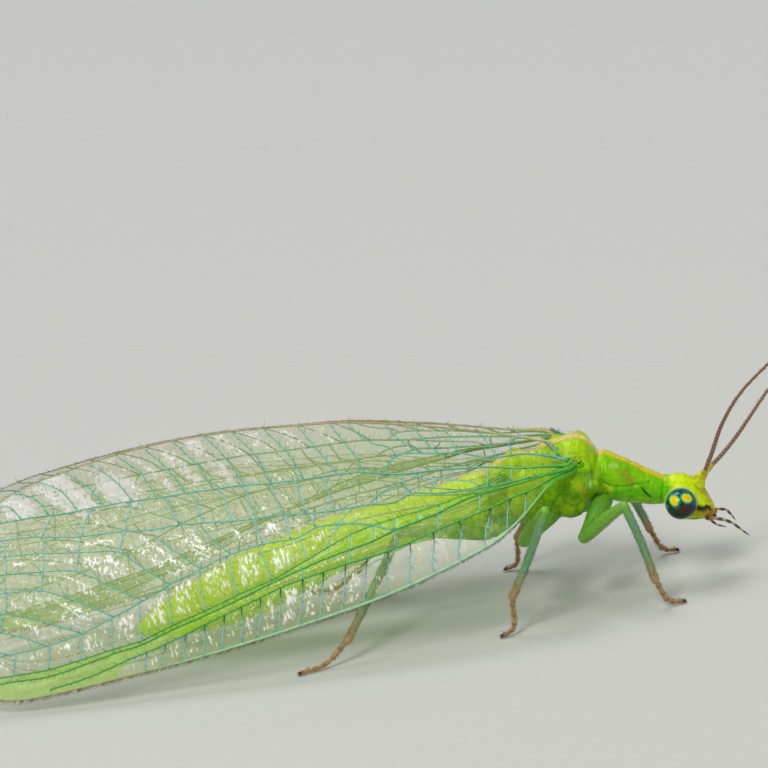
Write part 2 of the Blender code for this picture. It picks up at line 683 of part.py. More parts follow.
def make_hindwing(side_name, material):
    side = SIDES[side_name]
    rows = []
    for s in station_places(HINDWING_ROOT_S, HINDWING_TIP_S, HINDWING_STATIONS):
        costal, hind = hindwing_edges(side, s)
        chord = (hindwing_point(side, s, hind) - hindwing_point(side, s, costal)).length
        half = wing_thickness(s + WING_LENGTH - HINDWING_TIP_S) / 2
        row = []
        for share, height in vein_lines(HINDWING_VEIN_SHARES, (VEIN_HEIGHT,) * 3, chord):
            place = costal + (hind - costal) * share
            point = hindwing_point(side, s, place)
            normal = forewing_normal(side, s, place)
            row.append((point + normal * half, point - normal * (half + height)))
        rows.append(row)
    return make_plate("hindwing_" + side_name, rows, material)


def make_leg(name, material):
    side = SIDES[name.split("_")[-1]]
    return fuse(name, make_rods(name, LEGS[name], side, LEG_SIDES, material))


def stand_on_origin(pieces):
    """Parent everything to one empty that puts the box's bottom centre on the origin."""
    bpy.context.view_layer.update()
    corners = np.array([piece.matrix_world @ vertex.co for piece in pieces for vertex in piece.data.vertices])
    middle = (corners.min(axis=0) + corners.max(axis=0)) / 2
    holder = bpy.data.objects.new("lacewing", None)
    bpy.context.scene.collection.objects.link(holder)
    holder.location = (-middle[0], -middle[1], 0.0)
    for piece in pieces:
        piece.parent = holder


def main():
    clear_scene()
    looks = {name: make_material(name) for name in COLOURS}
    green = looks["body_green"]
    pieces = [
        make_head(looks["head_yellow"]),
        make_trunk_piece("prothorax", NECK_X, PRONOTUM_REAR_X, 6, PROTHORAX_LOBES, green),
        make_trunk_piece("mesothorax", PRONOTUM_REAR_X - GAP, MESOTHORAX_REAR_X, 6, MESOTHORAX_LOBES, green),
        make_trunk_piece("metathorax", MESOTHORAX_REAR_X - GAP, METATHORAX_REAR_X, 5, METATHORAX_LOBES,
                         green),
        make_abdomen(green),
    ]
    for side_name in SIDES:
        pieces.append(make_eye(side_name, looks["eye_metal"]))
        pieces.append(make_antenna(side_name, looks["antenna_brown"]))
        pieces.append(make_forewing(side_name, looks["wing_membrane"]))
        pieces.append(make_hindwing(side_name, looks["wing_membrane"]))
    for name in LEGS:
        pieces.append(make_leg(name, looks["leg_green"]))
    stand_on_origin(pieces)


main()
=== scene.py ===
"""Green lacewing at rest: the looks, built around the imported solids.

Points are millimetres in the insect's own frame: X towards the head, its right side at -Y and the
floor at Z = 0. A wing point is (s, share): the distance along the wing from its root in
millimetres, and the share of the chord from the costal edge (0) to the hind edge (1).
"""

import math

import bmesh
import bpy
import numpy as np
from mathutils import Matrix, Vector
from mathutils.kdtree import KDTree

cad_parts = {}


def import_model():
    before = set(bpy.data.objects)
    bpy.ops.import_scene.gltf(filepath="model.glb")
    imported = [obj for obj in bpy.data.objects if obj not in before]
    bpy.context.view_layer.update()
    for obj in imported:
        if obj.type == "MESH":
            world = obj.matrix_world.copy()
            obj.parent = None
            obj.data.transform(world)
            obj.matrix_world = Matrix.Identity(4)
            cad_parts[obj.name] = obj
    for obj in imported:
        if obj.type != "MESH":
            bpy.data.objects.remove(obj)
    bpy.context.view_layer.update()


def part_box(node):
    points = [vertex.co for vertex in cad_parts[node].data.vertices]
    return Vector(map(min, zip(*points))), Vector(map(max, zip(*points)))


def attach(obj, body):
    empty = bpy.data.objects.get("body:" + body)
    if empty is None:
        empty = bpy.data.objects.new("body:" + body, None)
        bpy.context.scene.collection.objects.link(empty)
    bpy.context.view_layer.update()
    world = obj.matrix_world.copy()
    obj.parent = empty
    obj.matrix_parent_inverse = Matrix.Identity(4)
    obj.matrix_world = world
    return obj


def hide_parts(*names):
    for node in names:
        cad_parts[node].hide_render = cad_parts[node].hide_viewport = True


MM = 0.001
SIDES = {"right": -1, "left": 1}
RANDOM_SEED = 7
NOISE_SEEDS = {"waves": 41, "skin": 31, "shimmer": 3, "eye_specks": 5, "forewing": 11, "hindwing": 23,
               "patch": 17, "broad_patch": 18, "veil": 19, "broad_veil": 20, "tinge": 21}

# From the insect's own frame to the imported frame, in metres: main() sets it
SHIFT = np.zeros(3)

# The camera of the photograph
PHOTO_SIZE = 768
CAMERA_AZIMUTH = math.radians(5.5)
CAMERA_ELEVATION = math.radians(16.6)
CAMERA_ROLL = math.radians(10.4)
CAMERA_DISTANCE = 150.0
PX_PER_MM = 47.6
FOCUS_POINT = np.array((-3.0, -1.0, 2.0))
FRONT_FOOT = np.array((1.65, -1.75, 0.0))
FRONT_FOOT_PX = (679, 604)
CAMERA_FITTINGS = 12
SENSOR_WIDTH = 36.0
CLIP_START = 0.005
CLIP_END = 20.0

# The trunk from neck to tail: X, top Z, bottom Z and half width at each station
TRUNK = (
    (1.90, 2.24, 1.74, 0.24),
    (1.72, 2.30, 1.70, 0.29),
    (1.56, 2.37, 1.69, 0.33),
    (1.42, 2.45, 1.70, 0.37),
    (1.04, 2.73, 1.79, 0.44),
    (0.66, 2.96, 1.89, 0.49),
    (0.50, 3.07, 1.96, 0.50),
    (0.40, 3.10, 2.02, 0.50),
    (0.20, 3.38, 2.05, 0.63),
    (-0.05, 3.48, 1.95, 0.72),
    (-0.40, 3.44, 1.80, 0.75),
    (-0.80, 3.36, 1.73, 0.74),
    (-0.95, 3.30, 1.74, 0.70),
    (-1.20, 3.31, 1.72, 0.70),
    (-1.60, 3.20, 1.76, 0.60),
    (-2.00, 3.06, 1.77, 0.50),
    (-2.60, 2.92, 1.76, 0.45),
    (-3.50, 2.75, 1.66, 0.44),
    (-4.40, 2.62, 1.53, 0.45),
    (-5.30, 2.52, 1.29, 0.49),
    (-6.20, 2.32, 0.95, 0.54),
    (-7.00, 2.11, 0.69, 0.55),
    (-7.70, 1.91, 0.51, 0.51),
    (-8.40, 1.61, 0.43, 0.44),
    (-9.10, 1.29, 0.43, 0.35),
    (-9.60, 0.99, 0.47, 0.25),
    (-9.93, 0.76, 0.56, 0.10),
)
# The stretch of it that the loft takes up, and the loft's fineness
TRUNK_FRONT_X = 1.88
TRUNK_TIP_X = -9.92
TRUNK_SIDES = 72
TRUNK_RINGS = 420
HEAD_SIDES = 40
HEAD_RINGS = 40

# The grooves round the trunk: X, depth as a share of the trunk's width, and width
GROOVES = (
    (1.66, 0.05, 0.05),
    (1.06, 0.035, 0.04),
    (0.44, 0.10, 0.06),
    (-0.92, 0.06, 0.05),
    (-2.02, 0.08, 0.05),
)
# The abdomen's segments, the grooves at their borders and the fold along both sides
ABDOMEN_FRONT_X = -2.15
ABDOMEN_TIP_X = -9.95
ABDOMEN_SEGMENTS = 9
BORDER_DEPTH = 0.055
BORDER_WIDTH = 0.05
PLEURA_DEPTH = 0.06
PLEURA_WIDTH = 0.16

# The head from nape to mouth: top X, top Z, bottom X, bottom Z and half width of each section
HEAD = (
    (1.74, 2.21, 1.78, 1.78, 0.26),
    (1.86, 2.29, 1.80, 1.54, 0.34),
    (2.02, 2.28, 1.86, 1.38, 0.42),
    (2.22, 2.20, 1.96, 1.28, 0.43),
    (2.38, 2.09, 2.10, 1.23, 0.40),
    (2.47, 1.94, 2.26, 1.22, 0.33),
    (2.55, 1.74, 2.42, 1.22, 0.26),
    (2.62, 1.54, 2.54, 1.23, 0.20),
    (2.64, 1.38, 2.61, 1.26, 0.11),
)

# Rounded plates that swell out of the trunk and head: X, |Y|, Z and the three half lengths
LOBES = (
    (1.98, 0.27, 1.76, 0.34, 0.16, 0.34),
    (2.04, 0.14, 2.03, 0.20, 0.15, 0.17),
    (2.36, 0.16, 2.00, 0.13, 0.13, 0.13),
    (2.41, 0.00, 1.62, 0.18, 0.24, 0.20),
    (2.52, 0.00, 1.36, 0.13, 0.15, 0.12),
    (2.28, 0.22, 1.42, 0.24, 0.13, 0.13),
    (0.02, 0.29, 3.08, 0.26, 0.32, 0.38),
    (-0.42, 0.31, 3.06, 0.27, 0.32, 0.38),
    (-0.68, 0.00, 3.22, 0.18, 0.26, 0.20),
    (-0.21, 0.58, 2.57, 0.28, 0.27, 0.28),
    (-0.30, 0.46, 2.10, 0.31, 0.28, 0.28),
    (-0.64, 0.48, 2.50, 0.20, 0.30, 0.36),
    (0.22, 0.42, 2.52, 0.16, 0.20, 0.30),
    (-1.36, 0.27, 2.96, 0.30, 0.29, 0.34),
    (-1.38, 0.42, 2.38, 0.32, 0.30, 0.36),
    (-1.66, 0.00, 3.00, 0.20, 0.25, 0.20),
)

# Seams pressed into the side of the skin, as seen in the photograph: pixels, Y, depth and width
SEAMS = (
    (((596, 477), (604, 484), (625, 487.5), (640, 485.5), (650, 484.5)), 0.50, 0.036, 0.032),
    (((599, 447), (598, 460), (595, 474), (594, 488), (597, 502)), 0.60, 0.050, 0.050),
    (((586, 437), (588, 450), (592, 464), (594, 476)), 0.45, 0.028, 0.026),
    (((560, 480), (559, 490), (564, 500), (573, 505), (582, 502), (588, 492), (589, 480)),
     0.62, 0.040, 0.028),
    (((577, 434), (573, 446), (568, 458)), 0.35, 0.030, 0.030),
    (((559, 494), (552, 504), (549, 516), (553, 526)), 0.55, 0.040, 0.030),
    (((548, 436), (543, 452), (541, 480), (538, 500), (538, 522)), 0.60, 0.040, 0.035),
    (((693, 475), (697, 483), (697, 492), (700, 500)), 0.38, 0.016, 0.020),
    (((704, 507), (708, 503), (714, 503)), 0.22, 0.018, 0.018),
    (((664, 476), (664, 488), (662, 500)), 0.30, 0.030, 0.035),
)

# Marks painted on the side of the skin: pixels, Y, half width in pixels, colour name and strength
MARKS = (
    (((641.8, 487.7), (645, 492), (650.4, 497.3)), 0.40, 0.9, "black", 1.0),
    (((693, 512.5), (699, 514), (705, 514)), 0.26, 4.5, "olive", 0.60),
    (((695.5, 506.5), (700, 508.2), (704.5, 509.8)), 0.32, 3.3, "black", 1.0),
    (((704.5, 508), (706.5, 506), (708.5, 506.8), (711, 511)), 0.22, 2.0, "black", 1.0),
    (((690, 518.8), (697, 517.8), (703, 517.2)), 0.24, 1.1, "black", 0.9),
    (((707, 514), (706.8, 516.5), (709, 518)), 0.20, 2.2, "black", 0.95),
    (((712, 512), (716, 516)), 0.16, 3.6, "brown", 0.85),
    (((705, 512), (713, 516)), 0.18, 3.6, "brown", 0.55),
    (((624, 475), (628, 479), (631, 482)), 0.48, 3.6, "brown", 0.45),
    (((611, 467), (616, 468)), 0.46, 2.0, "pale", 0.5),
    (((589.4, 476), (589.6, 486)), 0.62, 2.2, "pale", 0.75),
    (((607, 488), (611, 490)), 0.48, 2.4, "yellow", 0.5),
    (((577, 484), (584, 492)), 0.66, 3.0, "yellow", 0.35),
    (((566, 470), (590, 474)), 0.60, 4.0, "deep", 0.7),
    (((575, 457.5), (577, 461)), 0.60, 1.3, "black", 0.8),
)

# The skin's fineness, unevenness and hairs
SKIN_VOXEL = 0.016
SKIN_SMOOTHINGS = 18
SKIN_WAVES = 0.018
SKIN_HAIRS = 4200
SKIN_HAIR_LENGTH = 0.09
SKIN_HAIR_RADIUS = 0.0024
SKIN_HAIR_LOWEST = 0.3
SKIN_HAIR_KEPT = 0.6

# The eyes: X of the solids' eyes, then centre, radius, rim, facets and the bright spots painted on them as
# reflections
SOLID_EYE_X = 2.0
EYE_X = 1.975
EYE_Y = 0.47
EYE_Z = 1.755
EYE_RADIUS = 0.325
EYE_RIM_Y = 0.38
EYE_RIM_WIDTH = 0.020
EYE_RIM_POINTS = 61
EYE_RIM_SIDES = 8
FACET_LEVEL = 4
FACET_SWELL = 0.0045
EYE_REFLECTIONS_PX = (((673.6, 499.8), 1.12, 0.15, 0.45), ((686.2, 497.4), 0.92, 0.25, 1.0))
EYE_CENTRE_PX = (681.0, 503.2)

# A palp's joints: X, |Y|, Z and radius
MAXILLARY_PALPS = {
    "right": ((2.50, 0.16, 1.27, 0.040), (2.65, 0.22, 1.235, 0.038), (2.81, 0.28, 1.205, 0.034),
              (2.98, 0.32, 1.11, 0.030), (3.13, 0.34, 0.95, 0.025), (3.29, 0.34, 0.78, 0.006)),
    "left": ((2.50, 0.12, 1.31, 0.036), (2.69, 0.15, 1.325, 0.033), (2.86, 0.26, 1.24, 0.029),
             (2.95, 0.30, 1.09, 0.024), (3.015, 0.30, 0.96, 0.006)),
}
LABIAL_PALP = (
    (2.40, 0.10, 1.25, 0.032), (2.51, 0.14, 1.20, 0.030), (2.63, 0.18, 1.085, 0.026),
    (2.83, 0.20, 1.007, 0.006),
)
PALP_SIDES = 10
# Upper lip and jaw: X, |Y|, Z and the three half lengths
LABRUM = (2.60, 0.0, 1.335, 0.085, 0.13, 0.075)
MANDIBLE = (2.56, 0.10, 1.26, 0.10, 0.05, 0.045)

# Each feeler's course: X, |Y| and Z
ANTENNAE = {
    "right": ((2.40, 0.20, 2.02), (2.53, 0.32, 2.26), (2.76, 0.42, 2.69), (3.11, 0.62, 3.40),
              (3.59, 0.88, 4.07), (4.26, 1.18, 4.70), (6.30, 2.05, 6.35), (8.90, 3.15, 7.90),
              (11.6, 4.30, 8.90)),
    "left": ((2.40, 0.20, 2.02), (2.60, 0.32, 2.16), (2.95, 0.46, 2.40), (3.24, 0.62, 2.63),
             (3.63, 0.82, 3.00), (4.03, 1.05, 3.39), (6.40, 2.05, 4.90), (9.20, 3.15, 6.10),
             (12.0, 4.22, 6.80)),
}
ANTENNA_LENGTH = 12.6
SCAPE_LENGTH = 0.30
PEDICEL_LENGTH = 0.13
FLAGELLUM_STEP = 0.084
SCAPE_RADIUS = 0.125
SCAPE_SIDES = 14
PEDICEL_RADIUS = 0.054
PEDICEL_SIDES = 12
FLAGELLUM_SIDES = 8
FEELER_HAIR_LENGTH = 0.085
FEELER_HAIR_RADIUS = 0.0028
FEELER_HAIRS_PER_RING = 7

# One ring of a feeler: places along it, and its width and darkness there
RING_PLACES = np.array((0.0, 0.12, 0.5, 0.9, 1.0))
RING_WIDTHS = np.array((0.86, 0.96, 1.0, 1.05, 0.88))
RING_DARKNESS = np.array((0.8, 0.35, 0.0, 0.2, 0.8))

# The forewing by distance along its axis from the root
WING_ROOT = np.array((0.04, 0.0, 3.26))
WING_DECLINE = math.radians(7.0)
WING_AXIS = np.array((-math.cos(WING_DECLINE), 0.0, -math.sin(WING_DECLINE)))
WING_UP = np.array((-math.sin(WING_DECLINE), 0.0, math.cos(WING_DECLINE)))
WING_LENGTH = 14.13
WING_BELOW_AXIS = ((0.0, 0.16), (0.75, 0.30), (1.32, 0.60), (1.87, 0.84), (2.85, 1.03), (4.2, 1.22),
                   (6.4, 1.36), (8.7, 1.46), (12.0, 1.46), (WING_LENGTH, 1.46))
WING_ABOVE_AXIS = ((0.0, 0.06), (0.3, 0.20), (0.62, 0.36), (1.45, 0.70), (2.44, 1.10), (3.44, 1.47),
                   (4.45, 1.80), (5.5, 2.03), (7.6, 2.40), (9.75, 2.51), (11.0, 2.46),
                   (WING_LENGTH, 2.46))
COSTAL_EDGE_Y = ((0.0, 0.74), (0.35, 1.02), (0.75, 1.45), (1.32, 1.88), (1.87, 2.15), (2.85, 2.45),
                 (4.2, 2.65), (9.8, 2.65), (12.0, 2.50), (13.1, 2.25), (WING_LENGTH, 1.60))
HIND_EDGE_Y = ((0.0, 0.66), (0.3, 0.52), (0.62, 0.38), (1.45, 0.19), (2.44, 0.14), (10.5, 0.17),
               (11.5, 0.30), (12.5, 0.66), (13.4, 1.12), (WING_LENGTH, 1.60))
WING_BULGE = ((0.0, 0.02), (1.5, 0.18), (4.0, 0.30), (10.0, 0.30), (13.0, 0.15), (WING_LENGTH, 0.05))
COSTAL_TIP_START = 11.8
HIND_TIP_START = 11.0

HINDWING_ROOT_S = 1.75
HINDWING_TIP_S = 13.45
HINDWING_TIP_START = 11.3
HINDWING_TIP_SHARE = 0.42
HINDWING_COSTAL_SHARE = ((1.75, 0.44), (2.1, 0.38), (3.0, 0.30), (4.0, 0.24), (5.0, 0.19), (6.0, 0.13),
                         (7.5, 0.08), (9.5, 0.06), (WING_LENGTH, 0.06))
HINDWING_HIND_SHARE = ((1.75, 0.56), (2.1, 0.62), (3.0, 0.72), (4.1, 0.82), (6.0, 0.86), (12.0, 0.86),
                       (WING_LENGTH, 0.8))
HINDWING_INSET = 0.55

# The right forewing's veins as they are seen in the photograph, and past its left edge to the tip
SUBCOSTA_PX = ((566, 470), (540, 485), (511, 498), (489, 508.5), (459, 521), (433, 532), (410, 542.5),
               (388, 551), (367, 558), (345, 564.5), (323, 572), (303, 579), (280, 588), (260, 598),
               (241, 607), (224, 615.5), (204, 625), (185, 635), (164, 645), (126, 661), (90, 677),
               (50, 690))
RADIUS_PX = ((574, 466), (545, 475), (520, 483), (487, 492), (472, 497), (438, 513), (418, 521),
             (395, 530), (373, 541), (350, 549.5), (326, 558.5), (300, 570), (279, 579.5), (240, 599),
             (206, 615), (172, 630), (141, 645), (113, 654), (81, 666), (48, 677), (13, 682), (-28, 682))
SECTOR_PX = ((487, 491), (466, 495), (441, 504), (395, 518), (354, 533), (326, 548.5), (302, 563),
             (272, 580), (240, 594), (206, 610.5), (172, 625.5), (141, 641), (113, 649.5), (81, 660),
             (48, 670), (13, 676), (-32, 676))
MEDIA_PX = ((560, 470), (520, 480), (487, 486.5), (466, 490.5), (436, 493.5), (411, 493.5), (395, 502),
            (368, 504.5), (354, 507), (309, 513.5), (283, 515), (240, 520.5), (201, 523), (180, 525),
            (150, 530), (125, 531), (82, 536.5), (42, 537), (0, 541), (-42, 552))
CUBITUS_PX = ((572, 464), (545, 466.5), (520, 468), (487, 467), (451, 469), (433, 470.5), (403, 474),
              (383, 473.5), (365, 472), (337, 474.5), (306, 479), (270, 483.5), (240, 485.5),
              (212, 489.5), (186, 493), (157, 498), (133, 501), (92, 508), (61, 514), (0, 524),
              (-38, 538))
ANAL_PX = ((570, 460), (545, 455.5), (520, 454), (497, 457.5), (456, 453), (435, 453.5), (396, 456),
           (388, 465), (383, 473))
ANAL_LOOP_PX = ((559, 455.5), (550, 446), (542, 440.5), (529, 438), (516, 438.5), (511.5, 456))
INNER_SECTOR_PX = ((394, 530), (383, 528), (368, 524.5), (340, 524), (316, 527.5), (300, 536.5),
                   (265, 543.5), (240, 551), (231, 554), (201, 569), (170, 584.5), (143, 601),
                   (114, 617), (82, 633.5), (47, 646), (10, 655), (-38, 659))
OVAL_CELL_PX = ((411, 493.5), (404, 486), (392, 487.5), (381, 493), (374, 499), (369, 504.5))
SECTOR_BRANCHES_PX = (
    ((231, 554), (214, 541), (201, 527)),
    ((201, 569), (176, 552), (151, 534)),
    ((170, 584.5), (140, 566), (118, 552), (90, 552), (60, 553), (0, 557), (-50, 566)),
    ((143, 601), (108, 585), (76, 571.5), (40, 572), (0, 575), (-56, 584)),
    ((114, 617), (78, 602), (42, 591), (0, 594), (-60, 602)),
    ((82, 633.5), (40, 621), (0, 613.5), (-30, 614), (-63, 620)),
    ((47, 646), (20, 637), (0, 633), (-35, 634), (-63, 637)),
    ((10, 655), (-20, 650), (-60, 652)),
)
HIND_BRANCHES_PX = (
    ((497, 457), (488, 444), (479, 432)), ((460, 453), (452, 442), (445, 431)),
    ((437, 453), (424, 440), (412, 428)), ((425, 454), (404, 443), (383, 426)),
    ((396, 456), (390, 448), (371, 443), (347, 427)), ((365, 472), (352, 452), (329, 426)),
    ((337, 474), (326, 460), (297, 427)), ((304, 479), (292, 459), (263, 430)),
    ((272, 483), (258, 459), (231, 433)), ((244, 485), (228, 461), (203, 436)),
    ((213, 489), (203, 473), (172, 439)), ((186, 493), (171, 473), (142, 443)),
    ((157, 498), (143, 476), (114, 449)), ((133, 501), (116, 482), (87, 457)),
    ((104, 506), (87, 486), (62, 465)), ((78, 511), (62, 492), (37, 475)),
    ((50, 516), (35, 499), (12, 486)), ((22, 520), (8, 507), (-12, 498)),
    ((-6, 526), (-17, 516), (-31, 512)),
)
CROSSVEINS_PX = (
    ((487.5, 468), (487.5, 487)), ((403, 474), (404, 486)),
    ((411, 476), (426, 478), (451, 480), (470, 481), (480, 486)), ((436, 479), (434, 486), (429, 493)),
    ((512, 469), (510, 482)), ((324, 476), (328, 490), (334, 510)), ((295, 480), (300, 497), (308, 513)),
    ((270, 484), (276, 499), (283, 515)), ((244, 486), (250, 503), (256, 518)),
    ((220, 489), (227, 505), (233, 521)), ((191, 492), (198, 508), (205, 523)),
    ((165, 497), (172, 511), (180, 525)), ((133, 501), (128, 515), (125, 531)),
    ((92, 508), (85, 523), (82, 536)), ((52, 516), (46, 527), (42, 537)),
    ((352, 507), (345, 516), (337, 524)), ((309, 514), (312, 520), (315, 527)),
    ((254, 519), (258, 531), (263, 543)), ((283, 515), (287, 527), (290, 539)),
    ((300, 537), (304, 550), (308, 560)), ((258, 546), (265, 563), (272, 580)),
    ((228, 556), (233, 576), (239, 595)), ((198, 571), (202, 592), (206, 611)),
    ((167, 586), (170, 606), (172, 625)), ((139, 603), (140, 623), (141, 641)),
    ((111, 619), (112, 635), (113, 649)), ((80, 634), (81, 647), (81, 660)),
    ((49, 645), (49, 658), (48, 670)), ((16, 653), (15, 665), (14, 676)), ((441, 504), (439, 512)),
    ((418, 511), (418, 521)), ((395, 518), (395, 530)), ((373, 526), (373, 541)), ((350, 535), (350, 549)),
    ((479, 493), (480, 511)), ((438, 513), (438, 530)), ((395, 530), (395, 548)), ((350, 549), (349, 563)),
    ((303, 568), (303, 579)), ((118, 552), (125, 531)), ((80, 537), (79, 553)), ((79, 553), (76, 571)),
    ((44, 537), (43, 554)), ((44, 554), (43, 572)), ((42, 573), (42, 591)), ((5, 541), (5, 556)),
    ((6, 557), (6, 575)), ((5, 576), (5, 594)), ((6, 594), (6, 613)), ((2, 614), (2, 633)),
    ((340, 524), (333, 533), (326, 548)),
)
COSTAL_CROSSVEINS_PX = (
    ((526, 492), (525.6, 501), (523.8, 512)), ((511.3, 498), (508.8, 506), (505.4, 525)),
    ((489.4, 508), (490, 516), (486.3, 527.5), (484, 543)),
    ((459, 521), (461.9, 530), (458.8, 544), (458, 559)),
    ((433.1, 532), (434.4, 544), (433.1, 555), (432.8, 572)),
    ((410, 542.5), (410.6, 555), (409.8, 566), (408.5, 583)),
    ((387.8, 551), (388.5, 566), (386.9, 580), (386, 592)), ((367, 558), (365.8, 580), (362.5, 600)),
    ((345.5, 564.5), (344.2, 590), (340.3, 608)), ((323.5, 572), (322.5, 593), (318.3, 615)),
    ((303, 579), (301.7, 602), (297.2, 622.5)), ((280.5, 588), (280, 610), (276.3, 629)),
    ((260.5, 598), (260, 618), (257.2, 636)), ((241.5, 607), (242, 626), (240, 642)),
    ((224.5, 615.5), (223.3, 632), (220.3, 647)), ((205, 625), (204.2, 638), (202, 652.5)),
    ((185.5, 635), (184.2, 648), (182.2, 660)), ((165.5, 644.5), (164.2, 655), (161.7, 665)),
    ((147, 652), (145.6, 660), (143.5, 668)),
)
# Cells of the forewing that carry painted highlight patches, as pixels
HIGHLIGHT_CELLS_PX = ((16, 507), (57, 485), (78, 503), (120, 491), (-24, 532))
STIGMA_START = 9.9
STIGMA_END = 13.2

# Where tracing starts: the wing's root in the photograph, and its way from there
WING_ROOT_PX = (578, 462)
WING_WAY_PX = (-0.9618, 0.2738)
TRACING_STEPS = 14

# Fineness, radii and reliefs of the wings
VEIN_STEP = 0.09
VEIN_SIDES = 6
COSTA_RADIUS = 0.036
HIND_RIM_RADIUS = 0.022
RIM_POINTS = 190
WING_CHORD = 4.6
FILM_START = 0.03
FOREWING_GRID = (700, 140)
HINDWING_GRID = (300, 70)
CELL_DOME = 0.035
CREASE_HEIGHT = 0.008
HINDWING_RIM_SCALE = 0.4
FOREWING_SWELLING = 1.1
HINDWING_SWELLING = 0.4
ROOT_POINTS_SKIPPED = 3
CREASE_WAY = (0.75, -0.66)
# Spacing of the rows of painted glints and of the painted pearly sheen
GLINT_ROW = 0.25
PEARL_ROW = 0.50
BRISTLE_LENGTH = 0.16
BRISTLE_RADIUS = 0.0052
FRINGE_RADIUS = 0.0046

# The fringes of a forewing: first place along it, share, spacing and length of the hairs
FRINGES = ((0.7, 0.0, 0.011, 0.13), (1.2, 1.0, 0.035, 0.08))
FRINGE_END = WING_LENGTH - 0.05

# The hindwing's long veins: share at the root and near the tip
HINDWING_LINES = ((0.10, 0.05), (0.20, 0.12), (0.42, 0.34), (0.62, 0.60), (0.80, 0.82))
# Its crossveins: the long veins they join, by number, and their spacing
HINDWING_LADDERS = ((1, 2, 0.75), (2, 3, 0.8), (3, 4, 0.7))
HINDWING_LADDER_STRETCH = (3.2, HINDWING_TIP_S - 1.2)
HINDWING_BRANCH_STRETCH = (3.0, HINDWING_TIP_S - 0.6)
HINDWING_BRANCH_STEP = 0.55
HINDWING_LINE_RADII = (0.016, 0.009)
HINDWING_LADDER_RADII = (0.009, 0.009)
HINDWING_BRANCH_RADII = (0.009, 0.008)

# Where the costal and the hind rim of each wing run into the thorax: X, |Y| and Z
FOREWING_RIM_ROOTS = ((0.02, 0.50, 2.93), (-0.28, 0.36, 3.22))
HINDWING_RIM_ROOTS = ((-1.30, 0.40, 2.86), (-1.62, 0.36, 3.02))

# Each leg's joints: X, |Y| and Z of the coxa's ends, the femur's ends, the ankle and the foot's tip
HIND_LEG_JOINTS = ((-1.45, 0.30, 2.10), (-2.00, 0.52, 1.82), (-2.15, 0.60, 1.79), (-3.95, 0.90, 2.22),
                   (-5.30, 2.30, 0.48), (-6.34, 2.64, 0.05))
LEG_JOINTS = {
    "front_right": ((0.34, 0.28, 2.02), (-0.04, 0.84, 1.55), (-0.12, 0.93, 1.50), (0.86, 1.60, 2.27),
                    (1.25, 1.80, 0.62), (1.74, 1.73, 0.05)),
    "front_left": ((0.34, 0.28, 2.02), (-0.02, 0.80, 1.64), (-0.12, 0.88, 1.60), (0.66, 1.32, 2.00),
                   (1.10, 1.70, 0.60), (1.58, 1.71, 0.05)),
    "mid_right": ((-0.70, 0.36, 2.00), (-1.24, 0.80, 1.66), (-1.38, 0.94, 1.62), (-0.76, 2.02, 2.56),
                  (-1.74, 2.12, 0.82), (-2.06, 2.18, 0.05)),
    "mid_left": ((-0.70, 0.36, 2.00), (-1.22, 0.78, 1.68), (-1.36, 0.92, 1.64), (-0.84, 1.90, 2.20),
                 (-1.76, 2.12, 0.72), (-2.10, 2.18, 0.05)),
    "hind_right": HIND_LEG_JOINTS,
    "hind_left": HIND_LEG_JOINTS,
}
# The radius at both ends of each part, and at the foot
COXA_RADII = {"front": (0.22, 0.165), "mid": (0.20, 0.135), "hind": (0.20, 0.150)}
FEMUR_RADII = (0.155, 0.115)
TIBIA_RADII = (0.088, 0.072)
TARSUS_RADIUS = 0.052
TARSUS_SEGMENTS = 5
PAD_RADIUS = 0.032
CLAW_RADII = (0.018, 0.003)
CLAW_STEP = 0.012
FEMUR_BOW = (0, 0, 0.03)
TIBIA_BOW = (0.03, 0, 0)
CAP_RINGS = 5
LEG_POINTS = {"coxa": 18, "femur": 26, "tibia": 34}
LEG_SIDES = {"coxa": 18, "femur": 16, "tibia": 14, "tarsus": 12, "claw": 6}
LEG_HAIR_RADIUS = 0.0034
# Leg hairs with a root or a tip below these heights are left out
LOWEST_HAIR_ROOT = 0.04
LOWEST_HAIR_TIP = 0.005

# The hairs on each part of a leg: number, length and lowest place on the unwrap
LEG_HAIRS = {"femur": (150, 0.07, 0.05), "tibia": (340, 0.08, 0.30), "tarsus": (160, 0.07, 0.60)}

# Colours as linear red, green and blue
NOTUM_GREEN = (0.205, 0.610, 0.001)
PLEURA_GREEN = (0.100, 0.520, 0.001)
SCUTUM_LIME = (0.42, 0.69, 0.001)
SCUTUM_FRONT = (0.34, 0.64, 0.002)
PLEURON_OLIVE = (0.17, 0.44, 0.002)
UNDERSIDE_GREEN = (0.13, 0.30, 0.006)
DEEP_GREEN = (0.045, 0.30, 0.006)
NECK_GREEN = (0.150, 0.62, 0.001)
HEAD_YELLOW = (0.65, 0.84, 0.004)
FACE_YELLOW = (0.60, 0.53, 0.004)
CREAM = (0.86, 0.72, 0.24)
EDGE_YELLOW = (0.86, 0.66, 0.035)
ORANGE_TINGE = (0.80, 0.34, 0.04)
PALE_GREEN = (0.52, 0.78, 0.24)
ABDOMEN_GREEN = (0.68, 1.00, 0.004)
ABDOMEN_SIDE = (0.44, 0.90, 0.004)
MARK_BLACK = (0.010, 0.007, 0.005)
CHIN_OLIVE = (0.30, 0.28, 0.008)
MOUTH_BROWN = (0.40, 0.16, 0.03)
MANDIBLE_BROWN = (0.10, 0.045, 0.015)
FEMUR_GREEN = (0.15, 0.42, 0.020)
COXA_GREEN = (0.11, 0.34, 0.006)
TIBIA_TEAL = (0.150, 0.36, 0.165)
TARSUS_BROWN = (0.48, 0.26, 0.090)
TARSUS_DARK = (0.26, 0.09, 0.04)
CLAW_BROWN = (0.05, 0.02, 0.012)
VEIN_GREEN = (0.050, 0.42, 0.060)
VEIN_BASE_GREEN = (0.11, 0.52, 0.035)
VEIN_SHADE = (0.012, 0.065, 0.030)
CROSSVEIN_CYAN = (0.26, 0.68, 0.66)
